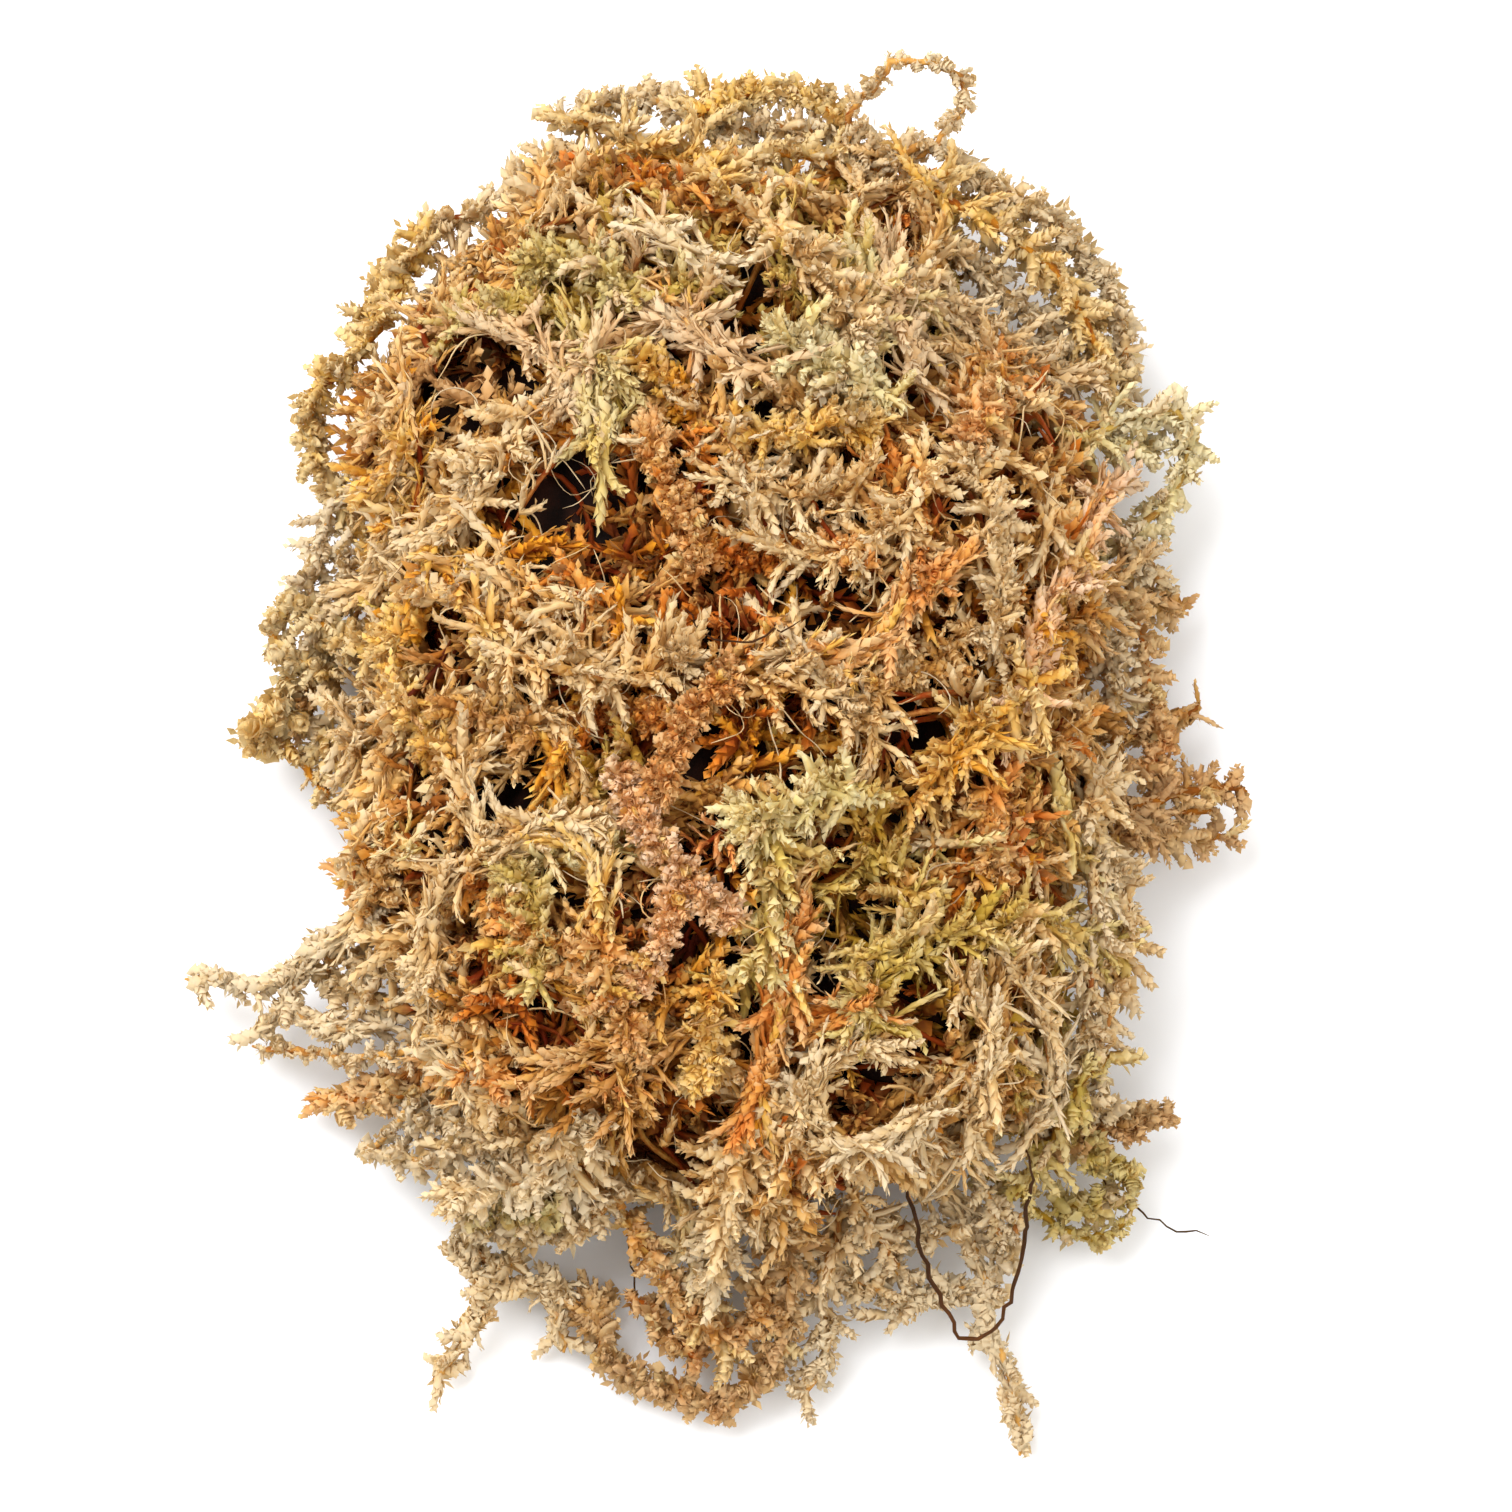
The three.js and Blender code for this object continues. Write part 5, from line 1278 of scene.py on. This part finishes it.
# How often each tint is drawn for the mat, near the top and deep in it, and how much a patch adds. Deep in
# it the rust and brown drawn most are painted shade.
USUAL = {"straw": 0.38, "cream": 0.27, "gold": 0.16, "pale_green": 0.07, "rust": 0.06, "brown": 0.04}
DEEP = {"rust": 0.35, "brown": 0.35, "gold": 0.15, "straw": 0.15}
PATCH_WEIGHT = 2.2
MAT_TINTS = ("cream", "straw", "pale_green", "olive", "gold", "rust", "pink", "mauve", "brown")


def tints_at(points, usual, rng):
    """Draws a tint for each point: the usual ones anywhere, and a patch's own inside it."""
    weights = np.tile([usual.get(tint, 0) for tint in MAT_TINTS], (len(points), 1))
    for x, y, reach, tint in PATCHES:
        off = np.hypot(points[:, 0] - x, points[:, 1] - y) / reach
        weights[:, MAT_TINTS.index(tint)] += PATCH_WEIGHT * np.exp(-off ** 2)
    shares = np.cumsum(weights, 1) / weights.sum(1, keepdims=True)
    return (rng.random((len(points), 1)) > shares).sum(1)


def spread_over_skin(count, lowest_z):
    """Points spread evenly over the heart's skin by a golden-angle spiral."""
    i = np.arange(count)
    z = 1 - 2 * (i + 0.5) / count
    flat = np.sqrt(1 - z * z)
    points = skin_along(np.stack([flat * np.cos(GOLDEN * i), flat * np.sin(GOLDEN * i), z], 1))
    return points[points[:, 2] > lowest_z]


# The mat's layers, from the deepest: stems, lowest start, heights, steps, habit, shade and tints. The
# deeper layers are darker as painted shade.
LAYERS = [
    (205, 3, (-6.5, -3.5), 6, "under", -0.05, DEEP),
    (185, 3, (-3.5, 0.0), 5, "mat", 0.0, USUAL),
    (155, 6, (-0.5, 2.5), 5, "top", 0.06, USUAL),
    (100, 8, (0.5, 3.0), 4, "frizz", 0.1, USUAL),
]
MAT_STEP = 2.4
MAT_STEM = 0.5
MAT_STEM_DARKER = 0.1


def make_heart(finishes, overlying):
    """The strands that are matted into the heart: dark ones deep in it, darkened as painted shade, and
    paler ones over them.
    """
    rng = np.random.default_rng([SEED, MAT_SEED])
    tangles = [Tangle() for _ in MAT_TINTS]
    branches = [Branches(rng, overlying) for _ in MAT_TINTS]
    for count, lowest_z, heights, steps, habit, shade, usual in LAYERS:
        start = spread_over_skin(count, lowest_z)
        heading = square_to(outward(start), rng)
        height = rng.uniform(*heights, len(start))
        bend = rng.uniform(-0.25, 0.25, len(start))
        paths = wander(start, heading, height, steps, STRIDE, bend, rng, overlying)
        tints = tints_at(paths[:, steps // 2], usual, rng)
        for path, tint in zip(paths, tints):
            path = evenly(curve_through(path), MAT_STEP)
            own_shade = shade + rng.uniform(-0.12, 0.12)
            own_turn = rng.uniform(0, 0.35)
            stem_shade = own_shade - MAT_STEM_DARKER
            add_stem(tangles[tint], path, MAT_STEM, stem_shade, own_turn, rng, sides=4)
            add_branches(branches[tint], path, habit, own_shade, own_turn, rng)
    for tint, tangle, waiting in zip(MAT_TINTS, tangles, branches):
        if tangle.count:
            waiting.grow(tangle)
            tangle.made(f"mat_{tint}", finishes[tint], tint, "moss_heart")


# How far the core lies under the heart's skin, how deep its pits and lumps are, and its lowest.
CORE_DEPTH = 9.5
CORE_PITS = 1.6
CORE_LUMPS = 0.7
CORE_LOWEST = 0.3


def make_heart_core(finish):
    """A ball pulled to just under the heart's skin, with lumps and pits of its own, coloured with painted
    shade.
    """
    rings = 60
    turns = 110
    polar = np.linspace(0, math.pi, rings + 1)[1:-1, None]
    turn = 2 * math.pi * np.arange(turns) / turns
    around = np.stack([np.sin(polar) * np.cos(turn), np.sin(polar) * np.sin(turn),
                       np.cos(polar) + 0 * turn], -1).reshape(-1, 3)
    direction = np.vstack([UP, around, -UP])
    skin = skin_along(direction)
    x, y, z = skin.T
    pits = np.sin(0.9 * x + 2 * np.sin(0.31 * y)) * np.sin(0.8 * y + 2 * np.sin(0.37 * z + 0.2 * x))
    fine = np.sin(2.1 * x + 1.3 * z) * np.sin(1.9 * y - 1.1 * z)
    places = off_skin(skin, -CORE_DEPTH + CORE_PITS * pits + CORE_LUMPS * fine)
    places[:, 2] = np.maximum(places[:, 2], CORE_LOWEST)
    walls = 1 + ring_walls(rings - 1, turns)[:, ::-1]
    last = len(places) - 1
    k = np.arange(turns)
    after = (k + 1) % turns
    top = np.stack([0 * k, 1 + k, 1 + after], 1)
    bottom = np.stack([last + 0 * k, last - turns + after, last - turns + k], 1)
    tangle = Tangle()
    # Painted shade: the core is darker where it lies deeper, in its pits.
    shades = 0.35 + 0.25 * pits + 0.15 * fine
    tangle.add(places, np.vstack([top, walls, bottom]), shades, 0.5 + 0.3 * fine)
    tangle.made("heart_core", finish, "heart", "moss_heart")


# ------------------------------------------------------------------ finishes

class Value:
    """A number that varies over a surface. Sums on it add Math nodes."""

    def __init__(self, finish, socket):
        self.finish = finish
        self.socket = socket

    def maths(self, operation, *values):
        """The value that a Math node makes of some values."""
        node = self.finish.node("ShaderNodeMath", {"operation": operation}, dict(enumerate(values)))
        return Value(self.finish, node.outputs[0])

    def __add__(self, other):
        return self.maths("ADD", self, other)

    def __radd__(self, other):
        return self.maths("ADD", other, self)

    def __sub__(self, other):
        return self.maths("SUBTRACT", self, other)

    def __rsub__(self, other):
        return self.maths("SUBTRACT", other, self)

    def __mul__(self, other):
        return self.maths("MULTIPLY", self, other)

    def __rmul__(self, other):
        return self.maths("MULTIPLY", other, self)


class Finish:
    """A material in the making."""

    def __init__(self, name):
        self.material = bpy.data.materials.new(name)
        self.material.use_nodes = True
        self.tree = self.material.node_tree
        self.tree.nodes.clear()

    def node(self, kind, settings=None, sockets=None):
        """Adds a node: its settings first, then the values or links of its sockets."""
        node = self.tree.nodes.new(kind)
        for key, value in (settings or {}).items():
            if key == "stops":
                set_stops(node.color_ramp, value)
            else:
                setattr(node, key, value)
        for key, value in (sockets or {}).items():
            if isinstance(value, Value):
                self.tree.links.new(value.socket, node.inputs[key])
            elif isinstance(value, bpy.types.NodeSocket):
                self.tree.links.new(value, node.inputs[key])
            else:
                node.inputs[key].default_value = value
        return node

    def value(self, kind, output, settings=None, sockets=None):
        return Value(self, self.node(kind, settings, sockets).outputs[output])

    def attribute(self, name):
        return self.value("ShaderNodeAttribute", "Fac", {"attribute_name": name})

    def noise(self, scale, detail):
        """A noise through the whole clump, with so many waves to a metre."""
        place = self.node("ShaderNodeTexCoord").outputs["Object"]
        sockets = {"Vector": place, "Scale": scale, "Detail": detail}
        return self.value("ShaderNodeTexNoise", "Fac", None, sockets)

    def ramp(self, factor, stops):
        return self.node("ShaderNodeValToRGB", {"stops": stops}, {"Fac": factor}).outputs["Color"]

    def mixed(self, factor, a, b):
        """A colour that turns from a to b as the factor grows."""
        node = self.node("ShaderNodeMix", {"data_type": "RGBA"})
        for key, value in (("Factor", factor), ("A", a), ("B", b)):
            kind = "VALUE" if key == "Factor" else "RGBA"
            socket = next(s for s in node.inputs if s.name == key and s.type == kind)
            self.tree.links.new(value.socket if isinstance(value, Value) else value, socket)
        return next(s for s in node.outputs if s.type == "RGBA")

    def done(self, surface):
        """Gives the material its surface and hands it over."""
        output = self.node("ShaderNodeOutputMaterial")
        self.tree.links.new(surface, output.inputs["Surface"])
        return self.material


def set_stops(ramp, stops):
    """Sets a colour ramp's stops, each a place and a colour."""
    while len(ramp.elements) < len(stops):
        ramp.elements.new(0.5)
    for element, (place, colour) in zip(ramp.elements, stops):
        element.position = place
        element.color = colour


def paint(red, green, blue):
    """A colour given in the usual 0 to 255, as the light that it sends back."""
    shares = (c / 255 for c in (red, green, blue))
    return tuple(c / 12.92 if c <= 0.04045 else ((c + 0.055) / 1.055) ** 2.4 for c in shares) + (1,)


# Each tint from its deepest tone to its palest, and the tint that some of its branches turn to. The
# deepest, red-brown tones are the colour of painted shade in the clump's depths.
TINTS = {
    "cream": ((140, 52, 0), (230, 183, 106), (228, 204, 155), (220, 206, 176), "straw"),
    "straw": ((126, 43, 0), (218, 164, 80), (221, 190, 136), (217, 200, 165), "cream"),
    "pale_green": ((124, 66, 0), (220, 194, 98), (225, 212, 148), (221, 215, 176), "cream"),
    "olive": ((100, 46, 0), (186, 149, 38), (204, 179, 86), (207, 194, 138), "straw"),
    "gold": ((130, 42, 0), (226, 154, 32), (230, 188, 90), (222, 201, 149), "straw"),
    "rust": ((106, 24, 0), (204, 107, 28), (219, 150, 77), (219, 185, 136), "gold"),
    "pink": ((136, 48, 4), (231, 153, 84), (236, 188, 134), (227, 203, 177), "gold"),
    "mauve": ((104, 50, 14), (206, 161, 105), (215, 182, 138), (217, 198, 165), "straw"),
    "brown": ((76, 18, 0), (159, 92, 30), (188, 133, 70), (199, 164, 120), "gold"),
    "root": ((24, 12, 8), (50, 26, 16), (74, 42, 26), (110, 70, 46), "brown"),
}
STOPS = (0.0, 0.35, 0.65, 1.0)
# The scales of a leaf's mottling, of the broad changes over the clump and of the streaks along a
# leaf, and how much each changes the shade or the turn.
MOTTLE_SCALE = 1400.0
MOTTLE = 0.2
BROAD_SCALE = 55.0
BROAD = 0.55
BROAD_TURN = 0.5
STREAKS_SCALE = 60
STREAKS = 0.2
# The light that comes through a leaf, and its share.
GLOW = (232, 190, 122)
GLOW_SHARE = 0.26
# The core's grain, how much it changes the shade, and its tones: near black, painted shade for the depths
# seen through the gaps.
GRAIN_SCALE = 350.0
GRAIN = 0.9
CORE_PAINTED_SHADE_TONES = ((0.2, (16, 5, 2)), (0.6, (40, 16, 6)), (0.95, (84, 42, 18)))


def leaf_finish(tint):
    """Dry, papery leaf: deep tones at its foot, which are painted shade, pale ones at its tip, mottled, a
    little see-through.
    """
    tones = TINTS[tint]
    other = TINTS[tones[-1]]
    finish = Finish(tint)
    mottle = finish.noise(MOTTLE_SCALE, 2.0)
    broad = finish.noise(BROAD_SCALE, 2.0)
    across = finish.attribute("turn")
    streaks = finish.value("ShaderNodeTexNoise", "Fac", {"noise_dimensions": "1D"},
                           {"W": STREAKS_SCALE * across, "Scale": 1.0, "Detail": 1.0})
    tone = (finish.attribute("shade") + MOTTLE * (mottle - 0.5) + BROAD * (broad - 0.5)
            + STREAKS * (streaks - 0.5))
    turn = across + BROAD_TURN * (broad - 0.5)
    own = finish.ramp(tone, [(p, paint(*c)) for p, c in zip(STOPS, tones)])
    second = finish.ramp(tone, [(p, paint(*c)) for p, c in zip(STOPS, other)])
    colour = finish.mixed(turn, own, second)
    bump = finish.node("ShaderNodeBump", None, {"Strength": 0.35, "Distance": 0.0003, "Height": mottle})
    leaf = finish.node("ShaderNodeBsdfPrincipled", None, {
        "Base Color": colour,
        "Roughness": 0.6 + 0.3 * mottle,
        "Specular IOR Level": 0.18,
        "Normal": bump.outputs["Normal"],
    })
    glow = finish.node("ShaderNodeBsdfTranslucent", None, {"Color": paint(*GLOW)})
    both = finish.node("ShaderNodeMixShader", None, {
        "Fac": GLOW_SHARE,
        1: leaf.outputs["BSDF"],
        2: glow.outputs["BSDF"],
    })
    return finish.done(both.outputs["Shader"])


def core_painted_shade_finish():
    """A near-black painted shade for the deep gaps of the clump, with a grain and bumps."""
    finish = Finish("heart")
    grain = finish.noise(GRAIN_SCALE, 4.0)
    tone = finish.attribute("shade") + GRAIN * (grain - 0.5)
    colour = finish.ramp(tone, [(place, paint(*c)) for place, c in CORE_PAINTED_SHADE_TONES])
    bump = finish.node("ShaderNodeBump", None, {"Strength": 0.8, "Distance": 0.001, "Height": grain})
    dark = finish.node("ShaderNodeBsdfPrincipled", None, {
        "Base Color": colour,
        "Roughness": 0.9,
        "Specular IOR Level": 0.2,
        "Normal": bump.outputs["Normal"],
    })
    return finish.done(dark.outputs["BSDF"])


def floor_finish():
    """The plain, matt surface that the clump lies on."""
    finish = Finish("pale surface")
    matt = finish.node("ShaderNodeBsdfPrincipled", None, {
        "Base Color": paint(240, 244, 250),
        "Roughness": 0.85,
        "Specular IOR Level": 0.2,
    })
    return finish.done(matt.outputs["BSDF"])


# ------------------------------------------------------------------ the whole

def main():
    finishes = {tint: leaf_finish(tint) for tint in TINTS}
    make_camera()
    make_studio()
    make_floor(floor_finish())
    make_heart_core(core_painted_shade_finish())
    overlying = Overlying(make_strands(finishes))
    make_heart(finishes, overlying)
    make_fibres(finishes["cream"])


main()
